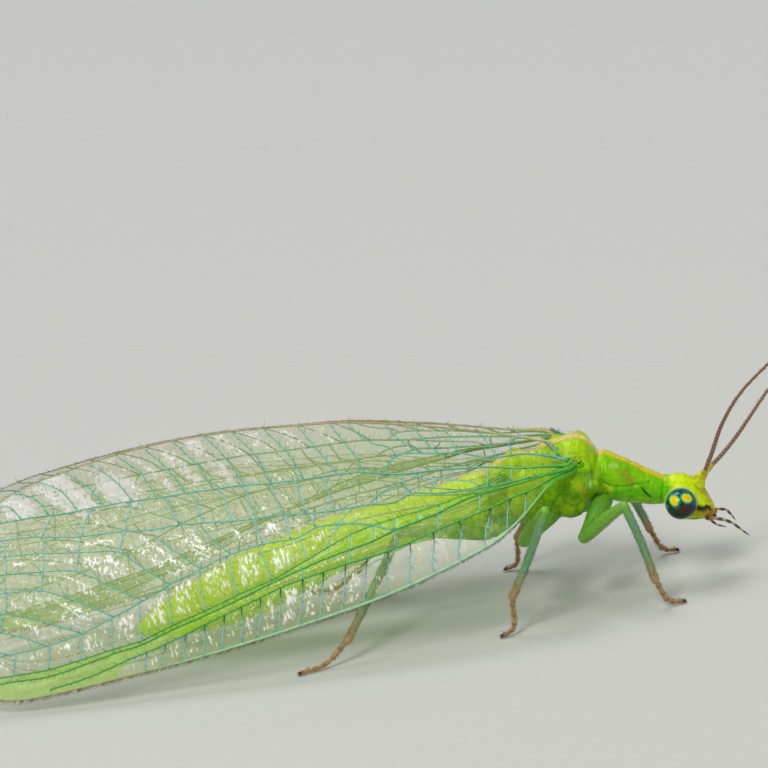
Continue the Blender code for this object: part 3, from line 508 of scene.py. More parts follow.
CROSSVEIN_DARK = (0.012, 0.030, 0.030)
TEAL_VEIN = (0.17, 0.58, 0.42)
COSTA_MINT = (0.34, 0.66, 0.38)
INNER_VEIN = (0.36, 0.58, 0.26)
RIM_PINK = (0.52, 0.40, 0.22)
RIM_TIP = (0.40, 0.44, 0.10)
EDGE_CREAM = (0.72, 0.58, 0.26)
MEMBRANE = (0.56, 0.68, 0.20)
# The pink of a painted iridescent sheen at the film's hind edge
MEMBRANE_PINK = (0.68, 0.56, 0.38)
UNDER_VEIN = (0.52, 0.68, 0.38)
STIGMA_GREEN = (0.40, 0.70, 0.040)
# Painted glints and painted pearly sheen of the wing films
GLINT_WHITE = (1.0, 1.0, 0.97)
PEARL_PINK = (0.96, 0.90, 0.88)
BRISTLE = (0.020, 0.016, 0.010)
FRINGE = (0.22, 0.135, 0.050)
PALE_HAIR = (0.55, 0.60, 0.20)
ANTENNA_BROWN = (0.33, 0.19, 0.115)
ANTENNA_RING = (0.085, 0.045, 0.028)
PALP_PALE = (0.50, 0.34, 0.16)
PALP_DARK = (0.030, 0.016, 0.010)
SPECULAR_LIME = (0.85, 1.0, 0.30, 1.0)
EYE_BLUE = (0.002, 0.005, 0.030)
EYE_GREEN = (0.006, 0.50, 0.16)
EYE_DEEP_GREEN = (0.002, 0.024, 0.015)
EYE_SKY = (0.010, 0.10, 0.42)
EYE_RED = (0.060, 0.014, 0.004)
# The gold and orange of the reflections painted on the eyes
EYE_REFLECTION_GOLD = (1.0, 0.78, 0.002)
EYE_REFLECTION_ORANGE = (1.0, 0.34, 0.01)
FLOOR_COLOUR = (0.66, 0.665, 0.635)
ROOM_COLOUR = (0.90, 0.93, 0.92, 1.0)
ROOM_LIGHT = 0.28
TRANSPARENT_BOUNCES = 24
FLOOR_ROUGHNESS = 0.85
FLOOR_SPECULAR = 0.2
FLOOR_REACH = 4.0
FLOOR_DROP = 0.00002

# Each light: direction, distance, size, power and colour
LIGHTS = {
    "key_softbox": ((-0.20, -0.62, 0.80), 0.40, 0.16, 0.75, (1.0, 0.985, 0.95)),
    "top_softbox": ((-0.25, 0.35, 0.95), 0.45, 0.22, 0.65, (1.0, 1.0, 1.0)),
    "front_fill": ((0.85, -0.60, 0.35), 0.45, 0.30, 0.2, (0.95, 0.98, 1.0)),
}

# The forewing's long veins: pixels, radius and colour at root and tip, and the root in the thorax
LONG_VEINS = (
    (SUBCOSTA_PX, (0.026, 0.015), (VEIN_BASE_GREEN, VEIN_GREEN), (0.00, 0.50, 2.97)),
    (RADIUS_PX, (0.030, 0.015), (VEIN_BASE_GREEN, VEIN_GREEN), (0.00, 0.50, 3.03)),
    (SECTOR_PX, (0.018, 0.014), (VEIN_BASE_GREEN, VEIN_GREEN), None),
    (MEDIA_PX, (0.024, 0.013), (VEIN_BASE_GREEN, TEAL_VEIN), (-0.03, 0.50, 3.08)),
    (CUBITUS_PX, (0.026, 0.013), (VEIN_BASE_GREEN, TEAL_VEIN), (-0.05, 0.50, 3.12)),
    (ANAL_PX, (0.022, 0.015), (TEAL_VEIN, TEAL_VEIN), (-0.24, 0.43, 3.14)),
    (ANAL_LOOP_PX, (0.012, 0.015), (TEAL_VEIN, TEAL_VEIN), (-0.38, 0.50, 3.20)),
)
# Its other veins: pixels, radius and colour at both ends, bristle spacing and any share to end on
VEIN_GROUPS = (
    ((INNER_SECTOR_PX, OVAL_CELL_PX), (0.019, 0.015), (TEAL_VEIN, TEAL_VEIN), 0.16, None),
    (SECTOR_BRANCHES_PX, (0.016, 0.012), (TEAL_VEIN, TEAL_VEIN), 0.16, None),
    (HIND_BRANCHES_PX, (0.015, 0.011), (TEAL_VEIN, TEAL_VEIN), 0.18, 1.0),
    (CROSSVEINS_PX, (0.0145, 0.0145), (CROSSVEIN_CYAN, CROSSVEIN_CYAN), 0.14, None),
    (COSTAL_CROSSVEINS_PX, (0.0145, 0.0145), (CROSSVEIN_DARK, CROSSVEIN_CYAN), 0.10, 0.0),
)
LONG_VEIN_BRISTLES = 0.11

# The veins that part one region of the forewing's film from the next
FILM_BORDERS = {"subcosta": SUBCOSTA_PX, "radius": RADIUS_PX, "sector": SECTOR_PX,
                "inner": INNER_SECTOR_PX, "media": MEDIA_PX, "cubitus": CUBITUS_PX}

# The small plates that carry the wings on the thorax: X, |Y|, Z, half lengths and colour
HINGE_PLATES = (
    ((0.00, 0.60, 2.99), (0.13, 0.10, 0.080), PLEURA_GREEN),
    ((-0.05, 0.60, 3.09), (0.13, 0.09, 0.060), SCUTUM_FRONT),
    ((-0.18, 0.55, 3.18), (0.17, 0.08, 0.045), SCUTUM_LIME),
    ((0.06, 0.55, 3.00), (0.08, 0.08, 0.090), SCUTUM_FRONT),
    ((-0.035, 0.685, 3.125), (0.036, 0.020, 0.020), MOUTH_BROWN),
    ((0.020, 0.680, 3.050), (0.022, 0.020, 0.026), MANDIBLE_BROWN),
    ((-1.34, 0.46, 2.90), (0.11, 0.09, 0.06), SCUTUM_FRONT),
    ((-1.54, 0.42, 3.00), (0.11, 0.08, 0.05), SCUTUM_LIME),
)
PAINTS = {"black": MARK_BLACK, "brown": MOUTH_BROWN, "pale": PALE_GREEN, "yellow": EDGE_YELLOW,
          "deep": DEEP_GREEN, "olive": CHIN_OLIVE}

NOISE_DETAIL = 4.0
NOISE_MIDDLE = (0.3, 0.7)
GRAIN_DETAIL = 3.0
GRAIN_DEPTH = 0.3

# Materials: roughness, strength and size of the speckle, the same of the bump, and other sockets
MATERIALS = {
    "cuticle": (0.36, 0.14, 0.08, 0.30, 0.026, {
        "Subsurface Weight": 0.30, "Subsurface Scale": 0.00022, "Specular IOR Level": 0.36,
        "Specular Tint": SPECULAR_LIME, "Coat Weight": 0.08, "Coat Roughness": 0.16}),
    "leg_cuticle": (0.42, 0.16, 0.05, 0.20, 0.022, {
        "Specular IOR Level": 0.4, "Coat Weight": 0.15, "Coat Roughness": 0.25}),
    "palp_cuticle": (0.40, 0.10, 0.05, 0.2, 0.02, {"Specular IOR Level": 0.4}),
    "eye_metal": (0.16, 0.10, 0.02, 0.0, 0.02, {
        "Specular IOR Level": 0.24, "Coat Weight": 0.18, "Coat Roughness": 0.06}),
    "antenna_cuticle": (0.55, 0.12, 0.05, 0.2, 0.02, {"Specular IOR Level": 0.3}),
    "wing_vein": (0.38, 0.12, 0.12, 0.0, 0.03, {"Specular IOR Level": 0.35}),
    "wing_membrane": (0.18, 0.10, 0.5, 0.5, 0.09, {"Alpha": 0.24, "Specular IOR Level": 0.5}),
    "wing_base_membrane": (0.18, 0.10, 0.5, 0.5, 0.09, {"Alpha": 0.10, "Specular IOR Level": 0.5}),
    # The sheen and glint films carry painted highlights: whiter and less clear than the film
    "wing_sheen": (0.25, 0.0, 0.1, 0.4, 0.04, {"Alpha": 0.50}),
    "inner_wing_sheen": (0.30, 0.0, 0.1, 0.4, 0.04, {"Alpha": 0.18}),
    "inner_wing_membrane": (0.22, 0.10, 0.5, 0.4, 0.09, {"Alpha": 0.10}),
    "wing_glint": (0.25, 0.0, 0.1, 0.4, 0.04, {"Alpha": 0.86}),
    "inner_wing_glint": (0.30, 0.0, 0.1, 0.4, 0.04, {"Alpha": 0.30}),
    "wing_stigma": (0.30, 0.12, 0.2, 0.3, 0.06, {"Alpha": 0.66}),
    "bristle": (0.45, 0.0, 0.1, 0.0, 0.05, {"Specular IOR Level": 0.3}),
    "pale_hair": (0.5, 0.0, 0.1, 0.0, 0.05, {"Specular IOR Level": 0.3}),
}
FOREWING_FILM = ("wing_membrane", "wing_sheen", "wing_glint", "wing_base_membrane", "wing_stigma")
HINDWING_FILM = ("inner_wing_membrane", "inner_wing_sheen", "inner_wing_glint")

# The part of the unwrap that the seven points of one hair take up
PATCH = 0.003
HAIR_PATCH = np.array(((0, 0), (PATCH, 0), (PATCH / 2, PATCH / 3), (0, PATCH / 2), (PATCH, PATCH / 2),
                       (PATCH / 2, PATCH * 0.7), (PATCH / 2, PATCH)))


def unit(vectors):
    """The vectors at length 1."""
    lengths = np.linalg.norm(vectors, axis=-1, keepdims=True)
    return vectors / np.maximum(lengths, 1e-12)


def ease(values, start, end):
    """0 before start, 1 after end and smooth between, for numbers or arrays."""
    share = np.clip((values - start) / (end - start), 0.0, 1.0)
    return share * share * (3 - 2 * share)


def mix(first, second, share):
    """The two colours mixed, for one share or an array of them."""
    share = np.asarray(share)[..., None]
    return np.asarray(first) * (1 - share) + np.asarray(second) * share


def curve(stations):
    """A cubic curve through stations of (place, value), as a function of arrays."""
    table = np.array(sorted((row[0], row[1]) for row in stations), float)
    xs, ys = table[:, 0], table[:, 1]
    slopes = np.gradient(ys, xs)

    def value(place):
        place = np.clip(np.asarray(place, float), xs[0], xs[-1])
        index = np.clip(np.searchsorted(xs, place) - 1, 0, len(xs) - 2)
        span = xs[index + 1] - xs[index]
        t = (place - xs[index]) / span
        start = (2 * t ** 3 - 3 * t ** 2 + 1) * ys[index] + (t ** 3 - 2 * t ** 2 + t) * span * slopes[index]
        end = (3 * t ** 2 - 2 * t ** 3) * ys[index + 1] + (t ** 3 - t ** 2) * span * slopes[index + 1]
        return start + end

    return value


def path_lengths(path, scale=1.0):
    """The distance along a path at each of its points; scale weighs each axis."""
    return np.concatenate(([0.0], np.cumsum(np.linalg.norm(np.diff(path, axis=0) * scale, axis=1))))


def between(ends, share):
    """The value at a share of the way from the first of two to the second."""
    return ends[0] + (ends[1] - ends[0]) * share


def mirrored(point, side):
    """A point given for the left side, on the side asked for."""
    return np.array((point[0], side * point[1], point[2]))


def smooth_path(points, step, scale=1.0):
    """Evenly spaced points on a smooth line through the given ones; scale weighs each axis."""
    points = np.asarray(points, float)
    lengths = path_lengths(points, scale)
    count = max(int(round(lengths[-1] / step)), 2) + 1
    places = np.linspace(0.0, lengths[-1], count)
    if len(points) == 2:
        return points[0] + (points[1] - points[0]) * (places / lengths[-1])[:, None]
    return np.stack([curve(list(zip(lengths, points[:, axis])))(places)
                     for axis in range(points.shape[1])], axis=1)


class NoiseField:
    """Smooth random values over a plane, the same on every run."""

    def __init__(self, name, offset=0, size=256):
        self.size = size
        self.table = np.random.default_rng(NOISE_SEEDS[name] + offset).random((size, size))

    def at(self, x, y):
        """The values, from 0 to 1, at arrays of places that lie about one blotch apart."""
        x0, y0 = np.floor(x), np.floor(y)
        tx, ty = x - x0, y - y0
        tx, ty = tx * tx * (3 - 2 * tx), ty * ty * (3 - 2 * ty)
        i0, j0 = x0.astype(int) % self.size, y0.astype(int) % self.size
        i1, j1 = (i0 + 1) % self.size, (j0 + 1) % self.size
        low = self.table[i0, j0] * (1 - tx) + self.table[i1, j0] * tx
        high = self.table[i0, j1] * (1 - tx) + self.table[i1, j1] * tx
        return low * (1 - ty) + high * ty


class PhotoCamera:
    """The camera that sees the insect as the photograph does."""

    def __init__(self):
        a, e, r = CAMERA_AZIMUTH, CAMERA_ELEVATION, CAMERA_ROLL
        self.back = np.array((math.sin(a) * math.cos(e), -math.cos(a) * math.cos(e), math.sin(e)))
        level_right = np.array((math.cos(a), math.sin(a), 0.0))
        level_up = np.cross(self.back, level_right)
        self.right = level_right * math.cos(r) - level_up * math.sin(r)
        self.up = level_right * math.sin(r) + level_up * math.cos(r)
        self.focal_px = PX_PER_MM * CAMERA_DISTANCE
        self.place = FOCUS_POINT + self.back * CAMERA_DISTANCE
        for _ in range(CAMERA_FITTINGS):
            error = np.array(FRONT_FOOT_PX) - self.pixels(FRONT_FOOT)
            self.place = self.place - (self.right * error[0] - self.up * error[1]) / PX_PER_MM

    def pixels(self, points):
        """Where points show in the photograph: pixels from its left and top edges."""
        offset = np.asarray(points, float) - self.place
        depth = -(offset @ self.back)
        across = PHOTO_SIZE / 2 + offset @ self.right * self.focal_px / depth
        down = PHOTO_SIZE / 2 - offset @ self.up * self.focal_px / depth
        return np.stack((across, down), axis=-1)

    def on_plane(self, pixels, y):
        """Where the lines of sight through pixels meet the plane at the given Y: rows of X and Z."""
        pixels = np.asarray(pixels, float)
        across = (pixels[:, 0] - PHOTO_SIZE / 2) / self.focal_px
        up = (PHOTO_SIZE / 2 - pixels[:, 1]) / self.focal_px
        rays = across[:, None] * self.right + up[:, None] * self.up - self.back
        hit = self.place + rays * ((y - self.place[1]) / rays[:, 1])[:, None]
        return hit[:, [0, 2]]


class Shape:
    """Vertices and faces of one piece, with a colour for each vertex and a material for each face."""

    def __init__(self):
        self.points = []
        self.colours = []
        self.places = []
        self.faces = []
        self.kinds = []
        self.count = 0

    def add(self, points, faces, colour, places=None, kinds=0):
        """Adds points and faces with one colour or one for each point; places are the unwrap's."""
        points = np.asarray(points, float).reshape(-1, 3)
        self.points.append(points)
        self.colours.append(np.broadcast_to(np.asarray(colour, float), points.shape))
        if places is not None:
            self.places.append(np.asarray(places, float).reshape(-1, 2))
        for group in faces if isinstance(faces, tuple) else (faces,):
            self.faces += (np.asarray(group) + self.count).tolist()
            self.kinds += [kinds] * len(group) if isinstance(kinds, int) else list(kinds)
        self.count += len(points)


def ring_corners(rings, sides):
    """For every quad of a stack of closed rings, its first corner and the next one round."""
    ring, side = np.meshgrid(np.arange(rings - 1), np.arange(sides), indexing="ij")
    return (ring * sides + side).ravel(), (ring * sides + (side + 1) % sides).ravel()


def tube(path, radii, sides):
    """Points and faces of a closed tube round a path."""
    path = np.asarray(path, float)
    radii = np.broadcast_to(np.asarray(radii, float), (len(path),))
    ahead = unit(np.gradient(path, axis=0))
    across = unit(np.cross(ahead[0], (0.31, 0.87, 0.38)))
    angles = np.arange(sides) * (2 * math.pi / sides)
    rings = []
    for place, way, radius in zip(path, ahead, radii):
        across = unit(across - way * (across @ way))
        up = np.cross(way, across)
        rings.append(place + radius * (np.cos(angles)[:, None] * across + np.sin(angles)[:, None] * up))
    a, b = ring_corners(len(path), sides)
    quads = np.stack((a, b, b + sides, a + sides), axis=1)
    caps = np.array((np.arange(sides)[::-1], (len(path) - 1) * sides + np.arange(sides)))
    return np.concatenate(rings), (quads, caps)


def per_ring(colour, count):
    """A colour as it is, or one for each ring repeated for the ring's points."""
    colour = np.asarray(colour, float)
    return np.repeat(colour, count, axis=0) if colour.ndim == 2 else colour


def add_tube(shape, path, radii, sides, colour):
    """Adds a tube whose colour is one colour or one for each point of the path."""
    points, faces = tube(path, radii, sides)
    shape.add(points, faces, per_ring(colour, sides))


def add_hairs(shape, roots, directions, lengths, radius, bends, colour, unwrap):
    """Adds a thin three-sided hair at every root, bent by its bend vector towards the tip."""
    count = len(roots)
    directions = unit(directions)
    across = unit(np.cross(directions, np.array((0.27, 0.63, 0.73))))
    up = np.cross(directions, across)
    points = np.zeros((count, 7, 3))
    for ring, place, width in ((0, 0.0, 1.0), (1, 0.55, 0.6)):
        centre = roots + directions * (lengths * place)[:, None] + bends * (lengths * place ** 2)[:, None]
        for corner in range(3):
            angle = 2 * math.pi * corner / 3
            spoke = across * math.cos(angle) + up * math.sin(angle)
            points[:, ring * 3 + corner] = centre + spoke * (radius * width)
    points[:, 6] = roots + directions * lengths[:, None] + bends * lengths[:, None]
    base = (np.arange(count) * 7)[:, None]
    quads = np.concatenate([base + np.array(face) for face in ((0, 1, 4, 3), (1, 2, 5, 4), (2, 0, 3, 5))])
    tips = np.concatenate([base + np.array(face) for face in ((3, 4, 6), (4, 5, 6), (5, 3, 6), (0, 2, 1))])
    places = unwrap[:, None, :] + HAIR_PATCH[None, :, :]
    shape.add(points, (quads, tips), colour, places)


def frame_shift():
    """What a point in the insect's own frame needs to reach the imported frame, in metres."""
    right_low, right_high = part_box("eye_right")
    left_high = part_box("eye_left")[1]
    middle_x = (right_low.x + right_high.x) / 2
    middle_y = (right_low.y + left_high.y) / 2
    return np.array((middle_x - SOLID_EYE_X * MM, middle_y, 0.0))


def add_object(name, data):
    """An object of the scene with the given data."""
    item = bpy.data.objects.new(name, data)
    bpy.context.scene.collection.objects.link(item)
    return item


def make_piece(name, shape, materials, replaces=()):
    """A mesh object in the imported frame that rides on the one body."""
    mesh = bpy.data.meshes.new(name)
    points = np.concatenate(shape.points) * MM + SHIFT
    mesh.from_pydata(points.tolist(), [], shape.faces)
    colours = np.ones((len(points), 4), np.float32)
    colours[:, :3] = np.clip(np.concatenate(shape.colours), 0.0, 1.0)
    tint = mesh.color_attributes.new("Tint", "FLOAT_COLOR", "POINT")
    tint.data.foreach_set("color", colours.ravel())
    if shape.places:
        corners = np.zeros(len(mesh.loops), int)
        mesh.loops.foreach_get("vertex_index", corners)
        layer = mesh.uv_layers.new(name="OFBake")
        layer.data.foreach_set("uv", np.concatenate(shape.places)[corners].astype(np.float32).ravel())
    for material in materials:
        mesh.materials.append(material)
    mesh.polygons.foreach_set("material_index", np.array(shape.kinds, np.int32))
    mesh.polygons.foreach_set("use_smooth", np.full(len(mesh.polygons), True))
    mesh.update()
    piece = add_object(name, mesh)
    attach(piece, "root")
    if replaces:
        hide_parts(*replaces)


def noise_node(tree, place, size_mm, detail):
    """A noise texture in a node tree, with blotches of the given size."""
    noise = tree.nodes.new("ShaderNodeTexNoise")
    noise.inputs["Scale"].default_value = 1.0 / (size_mm * MM)
    noise.inputs["Detail"].default_value = detail
    tree.links.new(place.outputs["Object"], noise.inputs["Vector"])
    return noise


def speckled(tree, place, colour, strength, size_mm):
    """The colour output, made lighter and darker by noise."""
    noise = noise_node(tree, place, size_mm, NOISE_DETAIL)
    spread = tree.nodes.new("ShaderNodeMapRange")
    for socket, value in (("From Min", NOISE_MIDDLE[0]), ("From Max", NOISE_MIDDLE[1]),
                          ("To Min", 1.0 - strength), ("To Max", 1.0 + strength)):
        spread.inputs[socket].default_value = value
    tree.links.new(noise.outputs["Fac"], spread.inputs["Value"])
    scaled = tree.nodes.new("ShaderNodeVectorMath")
    scaled.operation = "SCALE"
    tree.links.new(colour, scaled.inputs[0])
    tree.links.new(spread.outputs["Result"], scaled.inputs["Scale"])
    return scaled.outputs["Vector"]


def tinted_material(name, roughness, speckle, speckle_mm, bump, bump_mm, sockets):
    """A material that takes its colour from the mesh, broken up by noise and a fine bump."""
    material = bpy.data.materials.new(name)
    material.use_nodes = True
    tree = material.node_tree
    shader = tree.nodes["Principled BSDF"]
    shader.inputs["Roughness"].default_value = roughness
    for socket, value in sockets.items():
        shader.inputs[socket].default_value = value
    tint = tree.nodes.new("ShaderNodeAttribute")
    tint.attribute_name = "Tint"
    place = tree.nodes.new("ShaderNodeTexCoord")
    colour = tint.outputs["Color"]
    if speckle > 0:
        colour = speckled(tree, place, colour, speckle, speckle_mm)
    tree.links.new(colour, shader.inputs["Base Color"])
    if bump > 0:
        grain = noise_node(tree, place, bump_mm, GRAIN_DETAIL)
        relief = tree.nodes.new("ShaderNodeBump")
        relief.inputs["Strength"].default_value = bump
        relief.inputs["Distance"].default_value = bump_mm * MM * GRAIN_DEPTH
        tree.links.new(grain.outputs["Fac"], relief.inputs["Height"])
        tree.links.new(relief.outputs["Normal"], shader.inputs["Normal"])
    return material


def make_materials():
    """Every material by its name."""
    return {name: tinted_material(name, *row) for name, row in MATERIALS.items()}


def tip_share(s, start, end, sharpness):
    """How much of the full width is left at places near a wing's rounded tip."""
    share = np.clip((s - start) / (end - start), 0.0, 1.0)
    return np.sqrt(np.maximum(1 - share ** sharpness, 0.0))


WING_CURVES = {
    "below": curve(WING_BELOW_AXIS),
    "above": curve(WING_ABOVE_AXIS),
    "costal_y": curve(COSTAL_EDGE_Y),
    "hind_y": curve(HIND_EDGE_Y),
    "bulge": curve(WING_BULGE),
    "inner_costal": curve(HINDWING_COSTAL_SHARE),
    "inner_hind": curve(HINDWING_HIND_SHARE),
}


def wing_surface(side, s, share):
    """Points of the forewing's surface for arrays of places."""
    below = WING_CURVES["below"](s) * tip_share(s, COSTAL_TIP_START, WING_LENGTH, 3.0)
    above = WING_CURVES["above"](s) * tip_share(s, HIND_TIP_START, WING_LENGTH, 2.0)
    middle = WING_ROOT + WING_AXIS * s[..., None]
    costal = middle - WING_UP * below[..., None]
    hind = middle + WING_UP * above[..., None]
    costal[..., 1] = side * WING_CURVES["costal_y"](s)
    hind[..., 1] = side * WING_CURVES["hind_y"](s)
    chord = hind - costal
    outward = unit(np.cross(np.broadcast_to(WING_AXIS, chord.shape), chord))
    outward = outward * np.where(outward[..., 1:2] * side > 0, 1.0, -1.0)
    bulge = WING_CURVES["bulge"](s) * 4 * share * (1 - share)
    return costal + chord * share[..., None] + outward * bulge[..., None]


def wing_normal(side, s, share):
    """The directions square to the forewing's surface, away from the body."""
    step = 0.01
    along = wing_surface(side, np.minimum(s + step, WING_LENGTH), share)
    along = along - wing_surface(side, np.maximum(s - step, 0.0), share)
    across = wing_surface(side, s, share + step) - wing_surface(side, s, share - step)
    normal = unit(np.cross(along, across))
    return normal * np.where(normal[..., 1:2] * side > 0, 1.0, -1.0)


def forewing_sheet(side):
    """A function that gives the points and outward directions of one forewing."""
    def sheet(s, share, lift=0.0):
        normal = wing_normal(side, s, share)
        return wing_surface(side, s, share) + normal * np.asarray(lift)[..., None], normal
    return sheet


def hindwing_sheet(side):
    """The same for one hindwing, whose own share runs from its costal to its hind edge."""
    def sheet(s, share, lift=0.0):
        kept = tip_share(s, HINDWING_TIP_START, HINDWING_TIP_S, 2.0)
        costal = HINDWING_TIP_SHARE + (WING_CURVES["inner_costal"](s) - HINDWING_TIP_SHARE) * kept
        hind = HINDWING_TIP_SHARE + (WING_CURVES["inner_hind"](s) - HINDWING_TIP_SHARE) * kept
        place = costal + (hind - costal) * share
        normal = wing_normal(side, s, place)
        inset = HINDWING_INSET * ease(s, HINDWING_ROOT_S - 0.6, HINDWING_ROOT_S + 0.8)
        return wing_surface(side, s, place) + normal * (lift - inset)[..., None], normal
    return sheet


def wing_places(pixels, camera):
    """Where the right forewing shows at the given pixels, as rows of (s, share)."""
    pixels = np.asarray(pixels, float)
    right, down = pixels[:, 0] - WING_ROOT_PX[0], pixels[:, 1] - WING_ROOT_PX[1]
    s = (WING_WAY_PX[0] * right + WING_WAY_PX[1] * down) / PX_PER_MM
    s = np.clip(s, 0.0, WING_LENGTH - 0.05)
    share = np.full(len(s), 0.4)
    step_s, step_share = 0.01, 0.005
    for _ in range(TRACING_STEPS):
        here = camera.pixels(wing_surface(-1, s, share))
        by_s = (camera.pixels(wing_surface(-1, s + step_s, share)) - here) / step_s
        by_share = (camera.pixels(wing_surface(-1, s, share + step_share)) - here) / step_share
        error = pixels - here
        scale = by_s[:, 0] * by_share[:, 1] - by_s[:, 1] * by_share[:, 0]
        move_s = (error[:, 0] * by_share[:, 1] - error[:, 1] * by_share[:, 0]) / scale
        move_share = (by_s[:, 0] * error[:, 1] - by_s[:, 1] * error[:, 0]) / scale
        s = np.clip(s + np.clip(move_s, -1, 1), 0.0, WING_LENGTH - 0.03)
        share = np.clip(share + np.clip(move_share, -0.3, 0.3), 0.0, 1.0)
    return np.stack((s, share), axis=1)


class Vein:
    """One vein: path on a wing, radii and colours at both ends, any bristle spacing and body root."""

    def __init__(self, places, radii, colours, bristles=None, root=None):
        self.path = smooth_path(places, VEIN_STEP, scale=np.array((1.0, WING_CHORD)))
        self.radii = radii
        self.colours = colours
        self.bristles = bristles
        self.root = root


def forewing_veins(camera):
    """Every vein of a forewing as places on its surface."""
    veins = [Vein(wing_places(pixels, camera), radii, colours, LONG_VEIN_BRISTLES, root)
             for pixels, radii, colours, root in LONG_VEINS]
    for lines, radii, colours, bristles, last_share in VEIN_GROUPS:
        for pixels in lines:
            places = wing_places(pixels, camera)
            if last_share is not None:
                places[-1, 1] = last_share
            veins.append(Vein(places, radii, colours, bristles))
    return veins


def hindwing_veins():
    """A hindwing's veins: five long ones, crossveins between them and branches to the hind edge."""
    veins = []
    for first, last in HINDWING_LINES:
        places = ((HINDWING_ROOT_S + 0.1, 0.5 + (first - 0.5) * 0.6), (4.0, first),
                  (8.0, (first + last) / 2), (HINDWING_TIP_S - 0.5, last))
        root = (-1.30 - 0.35 * first, 0.40, 2.88 + 0.16 * first)
        veins.append(Vein(places, HINDWING_LINE_RADII, (VEIN_BASE_GREEN, INNER_VEIN), root=root))
    middles = [(first + last) / 2 for first, last in HINDWING_LINES]
    for upper, lower, step in HINDWING_LADDERS:
        top, bottom = middles[upper], middles[lower]
        s, end = HINDWING_LADDER_STRETCH
        while s < end:
            places = ((s, top), (s + 0.05, (top + bottom) / 2), (s + 0.14, bottom))
            veins.append(Vein(places, HINDWING_LADDER_RADII, (INNER_VEIN, INNER_VEIN)))
            s += step
    s, end = HINDWING_BRANCH_STRETCH
    while s < end:
        places = ((s, 0.81), (s + 0.25, 0.91), (s + 0.42, 1.0))
        veins.append(Vein(places, HINDWING_BRANCH_RADII, (INNER_VEIN, INNER_VEIN)))
        s += HINDWING_BRANCH_STEP
    return veins


def add_ribbed_tube(shape, path, normals, radii, colours, shade):
    """A tube along a wing, shaded along both edges and pale beneath."""
    points, faces = tube(path, radii, VEIN_SIDES)
    spokes = unit(points.reshape(-1, VEIN_SIDES, 3) - path[:, None, :])
    facing = np.sum(spokes * normals[:, None, :], axis=2)
    colour = np.repeat(colours[:, None, :], VEIN_SIDES, axis=1)
    colour = mix(colour, shade, 0.50 * (1 - ease(np.abs(facing), 0.15, 0.70)))
    colour = mix(colour, UNDER_VEIN, 0.65 * ease(-facing, 0.0, 0.5))
    shape.add(points, faces, colour.reshape(-1, 3))


def rooted_path(points, normals, root, side, swelling):
    """A wing line carried on into the body, and how much thicker it is along its first stretch."""
    if root is None:
        return points, normals, np.ones(len(points))
    base = mirrored(root, side)
    first, second = points[ROOT_POINTS_SKIPPED], points[ROOT_POINTS_SKIPPED + 2]
    bridge = smooth_path(np.stack((base, base * 0.5 + first * 0.5, first, second)), 0.03)
    bridge = bridge[:int(len(bridge) * 0.85)]
    path = np.concatenate((bridge, points[ROOT_POINTS_SKIPPED + 2:]))
    facing = np.repeat(normals[:1], len(bridge), axis=0)
    facing = np.concatenate((facing, normals[ROOT_POINTS_SKIPPED + 2:]))
    return path, facing, 1.0 + swelling * (1 - ease(path_lengths(path), 0.15, 1.5))


def add_vein(shape, sheet, vein, side, swelling):
    """Adds one vein as a tube along its wing."""
    points, normals = sheet(vein.path[:, 0], vein.path[:, 1])
    points, normals, swell = rooted_path(points, normals, vein.root, side, swelling)
    along = np.linspace(0.0, 1.0, len(points))
    colours = mix(vein.colours[0], vein.colours[1], ease(along, 0.05, 0.40))
    add_ribbed_tube(shape, points, normals, between(vein.radii, along) * swell, colours, VEIN_SHADE)


def add_rims(shape, sheet, start, end, scale, side, roots, swelling):
    """The thick costal edge and the thin hind edge as two tubes that meet at the tip."""
    s = start + (end - start) * np.sin(np.linspace(0.02, math.pi / 2, RIM_POINTS))
    for share, width, first, last, root in ((0.0, COSTA_RADIUS, VEIN_BASE_GREEN, COSTA_MINT, roots[0]),
                                            (1.0, HIND_RIM_RADIUS, EDGE_CREAM, RIM_PINK, roots[1])):
        points, normals = sheet(s, np.full(RIM_POINTS, share))
        points, normals, swell = rooted_path(points, normals, root, side, swelling)
        length = path_lengths(points)
        radii = width * scale * (1.0 - 0.5 * ease(length, 6.0, 13.5)) * swell
        colours = mix(first, last, ease(length, 0.9, 2.6))
        colours = mix(colours, RIM_TIP, ease(length, 9.0, 11.5))
        add_ribbed_tube(shape, points, normals, radii, colours, FRINGE)


def bristle_roots(vein, rng):
    """Places along a vein for its bristles, with even but unsteady spacing, and the way onward."""
    length = path_lengths(vein.path, np.array((1.0, WING_CHORD)))[-1]
    count = int(length / vein.bristles)
    first = ROOT_POINTS_SKIPPED + 2 if vein.root else 0
    steps = (np.arange(count) + rng.uniform(0.1, 0.9, count)) / max(count, 1)
    position = first + steps * (len(vein.path) - 1 - first)
    index = np.minimum(position.astype(int), len(vein.path) - 2)
    share = (position - index)[:, None]
    here, onward = vein.path[index], vein.path[index + 1]
    return here * (1 - share) + onward * share, onward - here


def add_bristles(shape, sheet, veins, rng):
    """Slanting bristles along both sides of every vein."""
    for vein in veins:
        places, ahead = bristle_roots(vein, rng)
        count = len(places)
        if count == 0:
            continue
        roots, normals = sheet(places[:, 0], places[:, 1])
        onward, _ = sheet(places[:, 0] + ahead[:, 0] * 0.2, places[:, 1] + ahead[:, 1] * 0.2)
        tangents = unit(onward - roots)
        across = np.cross(tangents, normals)
        lean = rng.choice((-1.0, 1.0), count)[:, None]
        directions = normals * rng.uniform(0.5, 0.9, (count, 1)) + across * lean * 0.8 + tangents * 0.45
        sizes = BRISTLE_LENGTH * rng.uniform(0.55, 1.15, count)
        add_hairs(shape, roots, directions, sizes, BRISTLE_RADIUS, tangents * 0.25, BRISTLE,
                  wing_unwrap(places[:, 0], places[:, 1]))


def wing_unwrap(s, share):
    """An unwrap of a wing: along it, and across it."""
    return np.stack((s / WING_LENGTH * 0.94 + 0.02, share * 0.9 + 0.04), axis=1)


